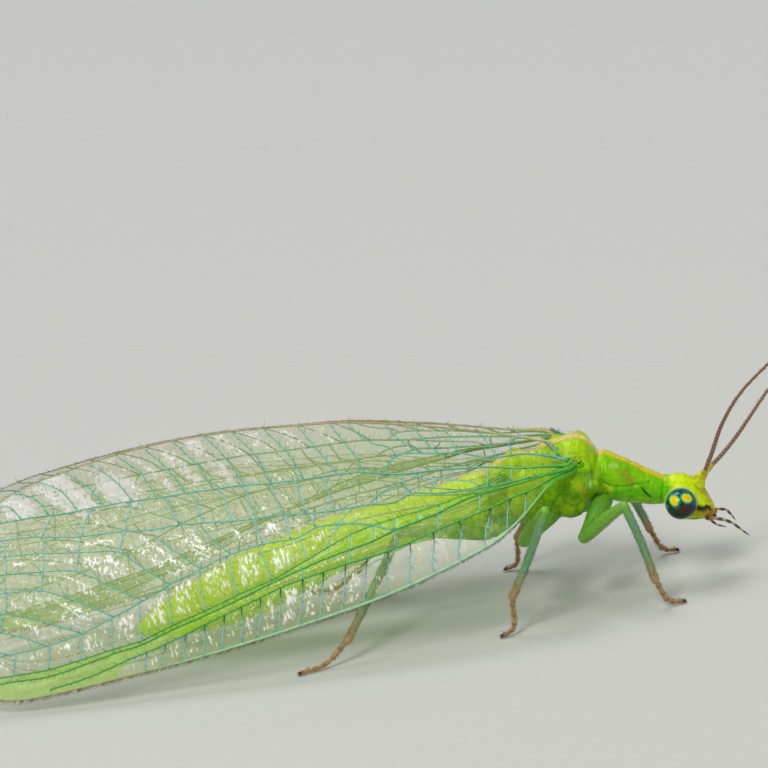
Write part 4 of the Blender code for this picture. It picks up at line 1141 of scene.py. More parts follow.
def add_fringe(shape, sheet, start, share, spacing, length, rng):
    """Short hairs that stand out from a wing's edge."""
    count = int((FRINGE_END - start) / spacing)
    s = np.sort(rng.uniform(start, FRINGE_END, count))
    shares = np.full(count, share)
    roots, normals = sheet(s, shares)
    inner, _ = sheet(s, shares + (0.03 if share < 0.5 else -0.03))
    tipward, _ = sheet(np.minimum(s + 0.05, FRINGE_END), shares)
    along = unit(tipward - roots)
    directions = unit(roots - inner) + along * rng.uniform(0.5, 1.1, (count, 1))
    directions = directions + normals * rng.uniform(-0.3, 0.5, (count, 1))
    sizes = length * rng.uniform(0.6, 1.2, count)
    add_hairs(shape, roots, directions, sizes, FRINGE_RADIUS, along * 0.3, FRINGE, wing_unwrap(s, shares))


def vein_distances(points, sheet, veins):
    """The distance from each point to the nearest vein of its wing."""
    samples = np.concatenate([sheet(vein.path[:, 0], vein.path[:, 1])[0] for vein in veins])
    tree = KDTree(len(samples))
    for index, point in enumerate(samples):
        tree.insert(point, index)
    tree.balance()
    return np.array([tree.find(point)[2] for point in points])


def crease_waves(s, across, spacing, shift=0.0):
    """Waves from -1 to 1 that run slantwise over the wing, as its fine creases do."""
    place = CREASE_WAY[0] * s + CREASE_WAY[1] * across + shift
    return np.cos(place * (2 * math.pi / spacing))


def glint_levels(s, share, away, region, strength, name):
    """Where glints are painted, standing for light caught by the film's fine creases: 0 nowhere, 1 a soft
    painted sheen and 2 a bright painted glint, in each cell.
    """
    flecks, clusters = NoiseField(name), NoiseField(name, 1)
    across = share * WING_CHORD
    cluster = clusters.at(s / 0.50, across / 0.55)
    combs = flecks.at((s + 0.10 * across) / 0.024, across / 0.075)
    rows = 0.5 + 0.5 * crease_waves(s, across, GLINT_ROW, 0.10 * cluster)
    beads = flecks.at(s / 0.036 + 70, across / 0.036 + 30) * (0.72 + 0.28 * rows)
    fleck = np.where(share < region(s), combs, beads)
    reach = 0.66 * strength * ease(away, 0.05, 0.15) * (0.25 + 0.75 * cluster)
    return (fleck > 1.0 - reach).astype(int) + (fleck > 1.0 - 0.80 * reach).astype(int)


def film_grid(sheet, veins, ends, grid):
    """Places in rows along a wing and across it, and their distance from the nearest vein or edge."""
    along = np.linspace(0.0, 1.0, grid[0])
    s = ends[0] + (ends[1] - ends[0]) * (0.45 * along + 0.55 * np.sin(along * math.pi / 2))
    s, share = np.meshgrid(s, np.linspace(0.0, 1.0, grid[1]), indexing="ij")
    flat, _ = sheet(s, share)
    away = vein_distances(flat.reshape(-1, 3), sheet, veins).reshape(s.shape)
    return s, share, np.minimum(away, np.minimum(share, 1 - share) * WING_CHORD)


def film_colours(s, share, away, kinds):
    """The film's colours: greener beside the veins, pinker at the hind edge as a painted iridescent sheen,
    and white where glints are painted.
    """
    pink = ease(share, 0.84, 0.99) * ease(s, 1.0, 4.0) * 0.7
    colour = mix(MEMBRANE, MEMBRANE_PINK, pink)
    colour = mix(colour, TEAL_VEIN, 0.30 * (1 - ease(away, 0.0, 0.08)))
    pearl = mix(GLINT_WHITE, PEARL_PINK, ease(share, 0.50, 0.75))
    colour = np.where((kinds > 0)[..., None], pearl, colour)
    return np.where((kinds > 1)[..., None], np.array(GLINT_WHITE), colour)


def make_membrane(sheet, veins, side, ends, grid, painted_glints, tinge, name):
    """The clear sheet of a wing, domed in each cell; painted_glints says where glints and sheen are painted,
    tinge where it is green.
    """
    s, share, away = film_grid(sheet, veins, ends, grid)
    inner = ease(away, 0.01, 0.22)
    swelling = NoiseField(name, 5).at(s / 0.5, share * WING_CHORD / 0.5)
    creases = NoiseField(name, 6).at(s / 0.08, share * WING_CHORD / 0.20)
    lift = CELL_DOME * inner * (0.4 + swelling) + CREASE_HEIGHT * inner * (creases - 0.5)
    points, _ = sheet(s, share, lift)
    kinds = painted_glints(s, share, away)
    colour = film_colours(s, share, away, kinds)
    if tinge is not None:
        base = (creases < 1 - ease(s, 0.5, 4.5)) & (kinds == 0)
        tinged = tinge(s, share)
        kinds = np.where(tinged, 4, np.where(base, 3, kinds))
        colour = np.where(tinged[..., None], np.array(STIGMA_GREEN), colour)
    index = np.arange(s.size).reshape(s.shape)
    quads = np.stack((index[:-1, :-1], index[1:, :-1], index[1:, 1:], index[:-1, 1:]), axis=-1).reshape(-1, 4)
    if side > 0:
        quads = quads[:, ::-1]
    shape = Shape()
    shape.add(points, quads, colour.reshape(-1, 3), kinds=kinds[:-1, :-1].ravel().tolist())
    return shape


class WingFilm:
    """Where glints and sheen are painted on the films of the wings, and where the forewing's is tinged green.
    """

    def __init__(self, camera):
        self.lines = {name: curve([tuple(row) for row in wing_places(pixels, camera)])
                      for name, pixels in FILM_BORDERS.items()}
        self.bright = wing_places(HIGHLIGHT_CELLS_PX, camera)

    def tinge(self, s, share):
        """The green strip between the first long veins, which widens at the wing's tip."""
        subcosta, radius, sector = (self.lines[name](s) for name in ("subcosta", "radius", "sector"))
        ragged = NoiseField("tinge").at(s / 0.05, share * WING_CHORD / 0.05)
        strip = (share > radius) & (share < sector) & (s > 2.2)
        narrow = (share > subcosta) & (share < radius) & (s > 6.5 + 2.5 * ragged)
        tip = (share < radius) & (share > 0.006) & (s > STIGMA_START + 0.7 * ragged)
        return (strip | narrow | tip) & (s < STIGMA_END + 0.5 * ragged)

    def painted_highlight_cells(self, s, share, away, levels):
        """The levels with the few painted highlight patches added."""
        patchy = 0.6 * NoiseField("patch").at(s / 0.05, share * WING_CHORD / 0.05)
        patchy = patchy + 0.4 * NoiseField("broad_patch").at(s / 0.15, share * WING_CHORD / 0.15)
        for place in self.bright:
            ahead, over = s - place[0], (share - place[1]) * WING_CHORD
            gap = np.hypot((0.66 * ahead + 0.75 * over) / 0.55, (0.75 * ahead - 0.66 * over) / 0.26)
            soft = (patchy > 0.05 + 0.5 * gap ** 2) & (away > 0.025)
            levels = np.maximum(levels, soft + (soft & (patchy > 0.15 + 0.6 * gap ** 2)))
        return levels

    def front_painted_glints(self, s, share, away):
        """The forewing's painted glints, its painted highlight patches and the painted pearly sheen of its
        hind field.
        """
        strength = ease(s, 2.2, 6.5) * (1 - 0.45 * (share > self.lines["media"](s)))
        levels = glint_levels(s, share, away, self.lines["inner"], strength, "forewing")
        levels = self.painted_highlight_cells(s, share, away, levels)
        pearly = 0.65 * NoiseField("veil").at(s / 0.032 + 9, share * WING_CHORD / 0.045)
        pearly = pearly + 0.35 * NoiseField("broad_veil").at(s / 0.30 + 9, share * WING_CHORD / 0.40)
        rows = crease_waves(s, share * WING_CHORD, PEARL_ROW)
        middle = ease(away, 0.06, 0.16) * (share > self.lines["cubitus"](s))
        veil = pearly + 0.16 * rows > 1.0 - 0.42 * middle * ease(s, 2.5, 8.0)
        return np.maximum(levels, veil)

    def rear_painted_glints(self, s, share, away):
        """The hindwing's painted glints."""
        strength = 0.6 * ease(s, 3.0, 8.0)
        return glint_levels(s, share, away, self.lines["inner"], strength, "hindwing")


def make_veins(name, sheet, veins, side, ends, scale, roots, swelling, looks, node):
    """The piece with a wing's veins and rims."""
    shape = Shape()
    for vein in veins:
        add_vein(shape, sheet, vein, side, swelling)
    add_rims(shape, sheet, *ends, scale, side, roots, swelling)
    make_piece(name, shape, [looks["wing_vein"]], (node,))


def build_forewing(side_name, side, veins, film, looks, rng):
    """One forewing: film, veins, bristles and fringe."""
    sheet, node = forewing_sheet(side), f"forewing_{side_name}"
    shape = make_membrane(sheet, veins, side, (FILM_START, WING_LENGTH), FOREWING_GRID, film.front_painted_glints,
                          film.tinge, "forewing")
    film_looks = [looks[name] for name in FOREWING_FILM]
    make_piece(f"forewing_membrane_{side_name}", shape, film_looks, (node,))
    make_veins(f"forewing_veins_{side_name}", sheet, veins, side, (0.0, WING_LENGTH), 1.0,
               FOREWING_RIM_ROOTS, FOREWING_SWELLING, looks, node)
    shape = Shape()
    add_bristles(shape, sheet, veins, rng)
    make_piece(f"forewing_bristles_{side_name}", shape, [looks["bristle"]])
    shape = Shape()
    for row in FRINGES:
        add_fringe(shape, sheet, *row, rng)
    make_piece(f"forewing_fringe_{side_name}", shape, [looks["bristle"]])


def build_hindwing(side_name, side, veins, film, looks):
    """One hindwing: film and veins."""
    sheet, node = hindwing_sheet(side), f"hindwing_{side_name}"
    ends = (HINDWING_ROOT_S, HINDWING_TIP_S)
    shape = make_membrane(sheet, veins, side, ends, HINDWING_GRID, film.rear_painted_glints, None, "hindwing")
    film_looks = [looks[name] for name in HINDWING_FILM]
    make_piece(f"hindwing_membrane_{side_name}", shape, film_looks, (node,))
    make_veins(f"hindwing_veins_{side_name}", sheet, veins, side, ends, HINDWING_RIM_SCALE,
               HINDWING_RIM_ROOTS, HINDWING_SWELLING, looks, node)


def build_wings(looks, camera, rng):
    """Both pairs of wings."""
    film = WingFilm(camera)
    front_veins, rear_veins = forewing_veins(camera), hindwing_veins()
    for side_name, side in SIDES.items():
        build_forewing(side_name, side, front_veins, film, looks, rng)
        build_hindwing(side_name, side, rear_veins, film, looks)


def add_ellipsoid(shape, centre, half_lengths, colour, sides=20, rings=12):
    """Adds a rounded body; the floor cuts it off flat where it would pass through."""
    latitudes = math.pi * ((np.arange(rings) + 0.5) / rings - 0.5)
    points = []
    for latitude in latitudes:
        for side in range(sides):
            angle = 2 * math.pi * side / sides
            points.append((centre[0] + half_lengths[0] * math.sin(latitude),
                           centre[1] + half_lengths[1] * math.cos(latitude) * math.cos(angle),
                           centre[2] + half_lengths[2] * math.cos(latitude) * math.sin(angle)))
    points = np.array(points)
    points[:, 2] = np.maximum(points[:, 2], 0.0)
    shape.add(points, loft_faces(rings, sides), colour)


def loft_faces(rings, sides):
    """Quads and the two end caps of a stack of closed rings."""
    a, b = ring_corners(rings, sides)
    quads = np.stack((a, a + sides, b + sides, b), axis=1)
    caps = np.array((np.arange(sides), ((rings - 1) * sides + np.arange(sides))[::-1]))
    return quads, caps


TRUNK_CURVES = [curve([(row[0], row[column]) for row in TRUNK]) for column in (1, 2, 3)]


def trunk_loft():
    """The trunk as one smooth loft with its grooves between segments."""
    x = np.linspace(TRUNK_FRONT_X, TRUNK_TIP_X, TRUNK_RINGS)
    top, bottom, half_width = (part(x) for part in TRUNK_CURVES)
    angles = np.arange(TRUNK_SIDES) * (2 * math.pi / TRUNK_SIDES)
    span = (ABDOMEN_FRONT_X - ABDOMEN_TIP_X) / ABDOMEN_SEGMENTS
    place = (ABDOMEN_FRONT_X - x) / span
    border = np.abs(place - np.round(place)) * span
    on_abdomen = ease(ABDOMEN_FRONT_X - x, -0.05, 0.05)
    scale = 1.0 - on_abdomen * BORDER_DEPTH * np.exp(-(border / BORDER_WIDTH) ** 2)
    for groove_x, depth, width in GROOVES:
        scale = scale * (1.0 - depth * np.exp(-((x - groove_x) / width) ** 2))
    across = half_width[:, None] * scale[:, None] * np.cos(angles)[None, :]
    fold = np.exp(-(np.abs(np.sin(angles))[None, :] / PLEURA_WIDTH) ** 2)
    pleura = 1.0 - PLEURA_DEPTH * on_abdomen[:, None] * fold
    height = (top - bottom)[:, None] / 2 * scale[:, None] * np.sin(angles)[None, :]
    middle = (top + bottom)[:, None] / 2
    points = np.stack((np.repeat(x[:, None], TRUNK_SIDES, axis=1), across * pleura, middle + height), axis=-1)
    return points.reshape(-1, 3), loft_faces(TRUNK_RINGS, TRUNK_SIDES)


def head_loft():
    """The head as a loft through slanting sections from nape to mouth."""
    sections = np.array(HEAD)
    places = np.linspace(0, len(sections) - 1, HEAD_RINGS)
    fields = [curve(list(enumerate(sections[:, column])))(places) for column in range(5)]
    top = np.stack((fields[0], np.zeros(HEAD_RINGS), fields[1]), axis=1)
    bottom = np.stack((fields[2], np.zeros(HEAD_RINGS), fields[3]), axis=1)
    angles = np.arange(HEAD_SIDES) * (2 * math.pi / HEAD_SIDES)
    middle, spoke = (top + bottom) / 2, (top - bottom) / 2
    points = middle[:, None, :] + spoke[:, None, :] * np.sin(angles)[None, :, None]
    points[..., 1] += fields[4][:, None] * np.cos(angles)[None, :]
    return points.reshape(-1, 3), loft_faces(HEAD_RINGS, HEAD_SIDES)


def skin_form():
    """The trunk, the head and the plates as one mesh of parts that run into each other."""
    shape = Shape()
    for points, faces in (trunk_loft(), head_loft()):
        shape.add(points, faces, SCUTUM_LIME)
    for row in LOBES:
        for side in (-1, 1) if row[1] > 0 else (1,):
            add_ellipsoid(shape, mirrored(row[:3], side), row[3:], SCUTUM_LIME)
    mesh = bpy.data.meshes.new("skin_form")
    mesh.from_pydata(np.concatenate(shape.points).tolist(), [], shape.faces)
    mesh.update()
    return mesh


def vertex_values(mesh, name):
    """One vector for each of a mesh's vertices."""
    values = np.zeros(len(mesh.vertices) * 3)
    mesh.vertices.foreach_get(name, values)
    return values.reshape(-1, 3)


def remeshed_skin():
    """The trunk, head and plates melted into one closed skin; work is done at 1 mm = 1 unit."""
    solid = add_object("skin_form", skin_form())
    melt = solid.modifiers.new("melt", "REMESH")
    melt.mode = "VOXEL"
    melt.voxel_size = SKIN_VOXEL
    melt.adaptivity = 0.0
    calm = solid.modifiers.new("calm", "SMOOTH")
    calm.factor = 0.5
    calm.iterations = SKIN_SMOOTHINGS
    bpy.context.view_layer.update()
    melted = bpy.data.meshes.new_from_object(solid.evaluated_get(bpy.context.evaluated_depsgraph_get()))
    bpy.data.objects.remove(solid, do_unlink=True)
    points, normals = vertex_values(melted, "co"), vertex_values(melted, "normal")
    faces = np.array([tuple(polygon.vertices) for polygon in melted.polygons])
    bpy.data.meshes.remove(melted)
    return points, normals, faces


def near(points, centre, radii):
    """1 at a centre, falling smoothly to 0 at the given distances along each axis; |Y| is used."""
    folded = np.stack((points[:, 0], np.abs(points[:, 1]), points[:, 2]), axis=1)
    return 1.0 - ease(np.linalg.norm((folded - np.array(centre)) / np.array(radii), axis=1), 0.5, 1.0)


def line_distance(points, line):
    """Each point's distance from a line of straight pieces, in a plane."""
    nearest = np.full(len(points), 1e9)
    for start, end in zip(line[:-1], line[1:]):
        way = end - start
        along = np.clip((points - start) @ way / (way @ way), 0.0, 1.0)
        nearest = np.minimum(nearest, np.linalg.norm(points - start - along[:, None] * way, axis=1))
    return nearest


def press_seams(points, normals, camera):
    """The skin with its seams pressed in on both sides, and slightly uneven between them."""
    flat = points[:, [0, 2]]
    x, y, z = points[:, 0], np.abs(points[:, 1]), points[:, 2]
    noise = NoiseField("waves")
    waves = noise.at(x / 0.13 + 50, z / 0.13 + 3 * y + 50)
    waves = waves + 0.5 * noise.at(x / 0.06 + 90, z / 0.06 + 8 * y + 90)
    points = points + normals * ((waves - 0.75) * SKIN_WAVES)[:, None]
    sideways = ease(np.abs(normals[:, 1]), 0.10, 0.45)
    for pixels, depth_y, depth, width in SEAMS:
        line = smooth_path(camera.on_plane(pixels, -depth_y), 0.03)
        press = depth * np.exp(-(line_distance(flat, line) / width) ** 2) * sideways
        points = points - normals * press[:, None]
    return points


def trunk_greens(x, z, normals, broad, abdomen, prothorax, camera):
    """The greens from the front of the thorax back to the tail."""
    colour = mix(SCUTUM_LIME, SCUTUM_FRONT, ease(x, 0.0, 0.25) * (1 - ease(z, 3.0, 3.3)))
    colour = mix(colour, PLEURON_OLIVE, 1 - ease(z + 0.10 * broad, 2.62, 2.95))
    colour = mix(colour, UNDERSIDE_GREEN, 0.8 * (1 - ease(z + 0.15 * broad, 2.05, 2.45)))
    colour = mix(colour, SCUTUM_LIME, 0.45 * (1 - ease(x, -1.1, -0.7)))
    belly = 1 - ease(normals[:, 2], -0.6, 0.5)
    colour = mix(colour, mix(ABDOMEN_GREEN, ABDOMEN_SIDE, 0.6 * belly), abdomen)
    groove = camera.on_plane(SEAMS[0][0], -SEAMS[0][1])
    above = ease(z - np.interp(x, groove[:, 0], groove[:, 1]), -0.04, 0.05)
    colour = mix(colour, mix(PLEURA_GREEN, NOTUM_GREEN, above), prothorax)
    return mix(colour, NECK_GREEN, ease(x, 1.30, 1.60) * 0.9)


def add_back_stripe(colour, x, y, normals, blotch, abdomen, prothorax):
    """The colours with the pale stripe along the middle of the back, and its orange edges."""
    width = 0.09 + 0.03 * ease(-x, -0.4, 0.0) - 0.05 * abdomen + 0.07 * (blotch - 0.5)
    up_facing = ease(normals[:, 2], 0.15, 0.5) * (1 - ease(x, 1.62, 1.80))
    stripe = (1 - ease(y, width, width + 0.08)) * up_facing
    edge = (1 - ease(np.abs(y - width - 0.05), 0.0, 0.07)) * up_facing
    colour = mix(colour, ORANGE_TINGE, 0.45 * edge * ease(x, -2.1, -1.6))
    return mix(colour, mix(CREAM, EDGE_YELLOW, prothorax), (0.85 - 0.35 * abdomen) * stripe)


def skin_colours(points, normals, camera):
    """The colours of the trunk and the head, with blotches, stripe and marks."""
    x, y, z = points[:, 0], np.abs(points[:, 1]), points[:, 2]
    noise = NoiseField("skin")
    blotch = 0.6 * noise.at(x / 0.16 + 40, z / 0.16 + y / 0.2)
    blotch = blotch + 0.4 * noise.at(x / 0.05 + 70, z / 0.05 + y / 0.06)
    broad = noise.at(x / 0.5 + 90, z / 0.5 + y / 0.6)
    abdomen = 1 - ease(x, -2.25, -2.0)
    prothorax = ease(x, 0.42, 0.52)
    head = ease(x + 0.10 * (z - 1.9), 1.76, 1.88)
    colour = trunk_greens(x, z, normals, broad, abdomen, prothorax, camera)
    colour = mix(colour, HEAD_YELLOW, head)
    colour = mix(colour, FACE_YELLOW, head * ease(x + 0.45 * (z - 1.9), 2.30, 2.50))
    colour = mix(colour, SCUTUM_LIME, 0.55 * ease(blotch, 0.35, 0.85) * (1 - head) * (1 - abdomen))
    colour = mix(colour, DEEP_GREEN, 0.30 * (0.55 - broad).clip(0, 1) * (1 - abdomen) * (1 - head))
    colour = add_back_stripe(colour, x, y, normals, blotch, abdomen, prothorax)
    colour = mix(colour, PALE_GREEN, 0.55 * near(points, (EYE_X, 0.42, EYE_Z), (0.44, 0.30, 0.44)))
    return paint_marks(colour, points, normals, camera)


def paint_marks(colour, points, normals, camera):
    """The colours with the marks painted on both sides."""
    flat = points[:, [0, 2]]
    sideways = ease(np.abs(points[:, 1]), 0.08, 0.14) * ease(np.abs(normals[:, 1]), 0.05, 0.3)
    for pixels, y, half_width, paint, strength in MARKS:
        reach = half_width / PX_PER_MM
        distance = line_distance(flat, camera.on_plane(pixels, -y))
        core, rim = (0.3, 1.6) if paint == "black" else (0.0, 2.0)
        cover = strength * (1 - ease(distance, core * reach, rim * reach)) * sideways
        colour = mix(colour, PAINTS[paint], cover)
    return colour


def skin_unwrap(points):
    """An unwrap of the skin: along the body, and round it."""
    top, bottom = TRUNK_CURVES[0](points[:, 0]), TRUNK_CURVES[1](points[:, 0])
    turn = np.arctan2(points[:, 2] - (top + bottom) / 2, points[:, 1]) / (2 * math.pi) + 0.5
    return np.stack(((points[:, 0] + 10.0) / 13.0 * 0.94 + 0.02, turn * 0.94 + 0.02), axis=1)


def add_skin_hair(hair, points, normals, rng):
    """Short hairs that lean back over the skin."""
    chosen = rng.choice(len(points), SKIN_HAIRS, replace=False)
    roots, outward = points[chosen], normals[chosen]
    keep = (roots[:, 2] > SKIN_HAIR_LOWEST) & (rng.random(len(roots)) < SKIN_HAIR_KEPT)
    roots, outward = roots[keep], outward[keep]
    backward = np.array((-1.0, 0.0, -0.15))
    directions = outward * 0.8 + backward * 0.75 + rng.normal(0, 0.18, roots.shape)
    sizes = SKIN_HAIR_LENGTH * rng.uniform(0.5, 1.2, len(roots)) * (1 - 0.45 * ease(roots[:, 0], 1.6, 1.9))
    bends = np.tile(backward * 0.25, (len(roots), 1))
    add_hairs(hair, roots - outward * 0.004, directions, sizes, SKIN_HAIR_RADIUS, bends, PALE_HAIR,
              skin_unwrap(roots))


def build_skin(looks, camera, rng):
    """The one skin of head, thorax and abdomen, and its hairs."""
    points, normals, faces = remeshed_skin()
    points = press_seams(points, normals, camera)
    shape = Shape()
    shape.add(points, faces, skin_colours(points, normals, camera))
    make_piece("body_skin", shape, [looks["cuticle"]],
               ("head", "prothorax", "mesothorax", "metathorax", "abdomen"))
    hair = Shape()
    add_skin_hair(hair, points, normals, rng)
    make_piece("body_hair", hair, [looks["pale_hair"]])


def facet_sphere(centre, radius, swell):
    """A ball of domed six-sided facets, made from the corners of a subdivided icosahedron."""
    ball = bmesh.new()
    bmesh.ops.create_icosphere(ball, subdivisions=FACET_LEVEL, radius=1.0)
    ball.faces.ensure_lookup_table()
    centres = np.array([face.calc_center_median().normalized() for face in ball.faces])
    points, faces = [], []
    index_of = {}
    for vertex in ball.verts:
        axis = vertex.co.normalized()
        around = sorted(vertex.link_faces, key=lambda face: facet_angle(centres[face.index], axis))
        for face in around:
            if face.index not in index_of:
                index_of[face.index] = len(points)
                points.append(centres[face.index] * radius)
        middle = len(points)
        points.append(np.array(axis) * (radius + swell))
        ring = [index_of[face.index] for face in around]
        for first, second in zip(ring, ring[1:] + ring[:1]):
            faces.append((first, second, middle))
    ball.free()
    return np.array(points) + centre, np.array(faces)


def facet_angle(point, axis):
    """The angle of a point seen along an axis."""
    across = Vector(axis).orthogonal().normalized()
    up = Vector(axis).cross(across)
    return math.atan2(Vector(point).dot(up), Vector(point).dot(across))


def eye_colours(directions, camera):
    """The metallic bands of a right eye and the bright reflections painted on it, for directions out from its
    centre.
    """
    across = directions @ camera.right
    up = directions @ camera.up
    facing = ease(directions @ camera.back, -0.05, 0.15)
    shimmer = NoiseField("shimmer").at(across * 9 + 20, up * 9 + 20)
    specks = NoiseField("eye_specks").at(across * 21 + 40, up * 21 + 40)
    colour = mix(EYE_DEEP_GREEN, EYE_BLUE, ease(up + 0.45 * across, -0.40, 0.20))
    colour = mix(colour, EYE_GREEN, 0.60 * ease(specks, 0.55, 0.80) * ease(up - 0.35 * across, -0.5, 0.1))
    colour = mix(colour, EYE_SKY, 0.85 * ease(1 - specks, 0.55, 0.80) * ease(up + 0.3 * across, -0.3, 0.3))
    lower = np.hypot((across - 0.08) * 0.85, (up + 0.30) * 1.35) + 0.25 * (shimmer - 0.5)
    colour = mix(colour, EYE_RED, 0.9 * (1 - ease(lower, 0.16, 0.56)) * facing)
    # Painted reflections: gold spots with orange cores, ringed with green
    for pixel, stretch, tilt, orange in EYE_REFLECTIONS_PX:
        place = (np.array(pixel) - np.array(EYE_CENTRE_PX)) / (EYE_RADIUS * PX_PER_MM)
        over, rise = across - place[0], up + place[1]
        offset = np.hypot((over + tilt * rise) * stretch, rise / stretch)
        offset = offset + 0.07 * (specks - 0.5)
        colour = mix(colour, EYE_GREEN, 0.9 * (1 - ease(offset, 0.31, 0.42)) * facing)
        colour = mix(colour, EYE_REFLECTION_GOLD, (1 - ease(offset, 0.25, 0.31)) * facing)
        warm = orange * (1 - ease(offset, 0.10, 0.27)) * facing
        colour = mix(colour, EYE_REFLECTION_ORANGE, warm * ease(specks, 0.2, 0.6))
    return colour


def build_eyes(looks, camera):
    """Both eyes, the left one coloured as the mirror image of the right one."""
    for side_name, side in SIDES.items():
        centre = np.array((EYE_X, side * EYE_Y, EYE_Z))
        points, faces = facet_sphere(centre, EYE_RADIUS, FACET_SWELL)
        directions = unit(points - centre) * np.array((1.0, -side, 1.0))
        shape = Shape()
        shape.add(points, faces, eye_colours(directions, camera))
        make_piece(f"eye_ball_{side_name}", shape, [looks["eye_metal"]], (f"eye_{side_name}",))


def add_eye_rim(shape, side):
    """A thin raised rim where an eye meets its socket."""
    angles = np.linspace(0, 2 * math.pi, EYE_RIM_POINTS)
    depth = EYE_Y - EYE_RIM_Y
    radius = math.sqrt(EYE_RADIUS ** 2 - depth ** 2) + EYE_RIM_WIDTH * 0.7
    path = np.stack((EYE_X + radius * np.cos(angles), np.full(EYE_RIM_POINTS, side * EYE_RIM_Y),
                     EYE_Z + radius * np.sin(angles)), axis=1)
    add_tube(shape, path, EYE_RIM_WIDTH, EYE_RIM_SIDES, PALE_GREEN)


def build_head_parts(looks):
    """Rims of the eyes, and the palps, jaws and lip below the face."""
    shape = Shape()
    for side_name, side in SIDES.items():
        add_eye_rim(shape, side)
        for joints in (MAXILLARY_PALPS[side_name], LABIAL_PALP):
            add_palp(shape, joints, side)
        add_ellipsoid(shape, mirrored(MANDIBLE[:3], side), MANDIBLE[3:], MANDIBLE_BROWN)
    add_ellipsoid(shape, LABRUM[:3], LABRUM[3:], MOUTH_BROWN)
    make_piece("mouth_palps", shape, [looks["palp_cuticle"]], ("head",))


def add_palp(shape, joints, side):
    """A palp with swollen parts, dark at their middles and pale at the joints."""
    points = np.array([mirrored(row, side) for row in joints])
    radii = np.array([row[3] for row in joints])
    along = np.linspace(0.0, 1.0, 9)
    for index in range(len(points) - 1):
        path = between(points[index:index + 2], along[:, None])
        width = between(radii[index:index + 2], along) * (0.72 + 0.28 * np.sin(along * math.pi))
        dark = ease(np.sin(along * math.pi), 0.35, 0.8) * (0.55 if index == 0 else 0.92)
        add_tube(shape, path, width, PALP_SIDES, mix(PALP_PALE, PALP_DARK, dark))


def feeler_track(side_name, side):
    """A function that gives places along a feeler from distances, and its whole length."""
    path = smooth_path([mirrored(row, side) for row in ANTENNAE[side_name]], 0.02)
    lengths = path_lengths(path)
    where = [curve(list(zip(lengths[::4], path[::4, axis]))) for axis in range(3)]

    def at(length):
        return np.stack([track(length) for track in where], axis=-1)

    return at, lengths[-1]


def add_feeler_base(shape, at):
    """The stout first part of a feeler and the short second one."""
    along = np.linspace(0.0, 1.0, 12)
    add_tube(shape, at(0.02 + along * SCAPE_LENGTH), SCAPE_RADIUS - 0.055 * ease(along, 0.0, 0.8),
             SCAPE_SIDES, mix(HEAD_YELLOW, FACE_YELLOW, along))
    width = PEDICEL_RADIUS * (0.85 + 0.25 * np.sin(along * math.pi))
    add_tube(shape, at(SCAPE_LENGTH + along * PEDICEL_LENGTH), width, PEDICEL_SIDES,
             mix(FACE_YELLOW, ANTENNA_BROWN, 0.45))


def add_feeler_rings(shape, at, start, count):
    """The many rings of the long third part, which grow thinner and paler towards its end."""
    for index in range(count):
        share = index / count
        places = start + index * FLAGELLUM_STEP + RING_PLACES * FLAGELLUM_STEP
        width = (0.020 + 0.012 * (1 - share) + 0.016 * (1 - ease(share, 0.0, 0.22))) * RING_WIDTHS
        ring = mix(ANTENNA_BROWN, ANTENNA_RING, RING_DARKNESS * (1.0 - 0.6 * share))
        add_tube(shape, at(places), width, FLAGELLUM_SIDES, ring)


def ways_round(ahead, rng):
    """A random direction square to each of the given ones."""
    way = unit(rng.normal(size=ahead.shape))
    return unit(way - ahead * np.sum(way * ahead, axis=1, keepdims=True))


def add_feeler_hair(hair, at, start, reach, count, rng):
    """Short hairs that lean towards the feeler's end."""
    places = start + rng.random(count) * (reach - start - 0.05)
    roots = at(places)
    ahead = unit(at(places + 0.02) - roots)
    outward = ways_round(ahead, rng)
    unwrap = np.stack((places / 14.0 + 0.02, 0.5 + 0.4 * outward[:, 2]), axis=1)
    sizes = FEELER_HAIR_LENGTH * rng.uniform(0.6, 1.2, count)
    add_hairs(hair, roots + outward * 0.018, outward * 0.8 + ahead, sizes, FEELER_HAIR_RADIUS, ahead * 0.3,
              ANTENNA_RING, unwrap)


def build_antennae(looks, rng):
    """Both feelers, each with its hairs as a piece of their own."""
    for side_name, side in SIDES.items():
        at, length = feeler_track(side_name, side)
        start = SCAPE_LENGTH + PEDICEL_LENGTH - 0.01
        reach = min(ANTENNA_LENGTH, length - FLAGELLUM_STEP)
        count = int((reach - start) / FLAGELLUM_STEP)
        shape, hair = Shape(), Shape()
        add_feeler_base(shape, at)
        add_feeler_rings(shape, at, start, count)
        make_piece(f"feeler_{side_name}", shape, [looks["antenna_cuticle"]],
                   (f"antenna_{side_name}",))
        add_feeler_hair(hair, at, start, reach, count * FEELER_HAIRS_PER_RING, rng)
        make_piece(f"feeler_hair_{side_name}", hair, [looks["bristle"]])


def leg_part(start, end, bow, count):
    """Shares along one part of a leg and the path there, with a slight bow to one side."""
    along = np.linspace(0.0, 1.0, count)
    return along, between((start, end), along[:, None]) + np.array(bow) * np.sin(along * math.pi)[:, None]


def rounded(path, radii):
    """A path and radii with round ends added, so that the tube along it closes like a finger."""
    turns = np.linspace(0.0, math.pi / 2, CAP_RINGS + 1)[:-1]
    first, last = unit(path[1] - path[0]), unit(path[-1] - path[-2])
    head = path[0] - first * (radii[0] * np.cos(turns))[:, None]
    tail = path[-1] + last * (radii[-1] * np.cos(turns[::-1]))[:, None]
    ends = np.sin(turns) + 0.02
    radii = np.concatenate((radii[0] * ends, radii, radii[-1] * ends[::-1]))
    return np.concatenate((head, path, tail)), radii


def add_limb(shape, path, radii, sides, colour):
    """A round-ended tube with a colour for each point, which is carried on over the ends."""
    first, last = (np.repeat(row, CAP_RINGS, axis=0) for row in (colour[:1], colour[-1:]))
    path, radii = rounded(path, radii)
    add_tube(shape, path, radii, sides, np.concatenate((first, colour, last)))


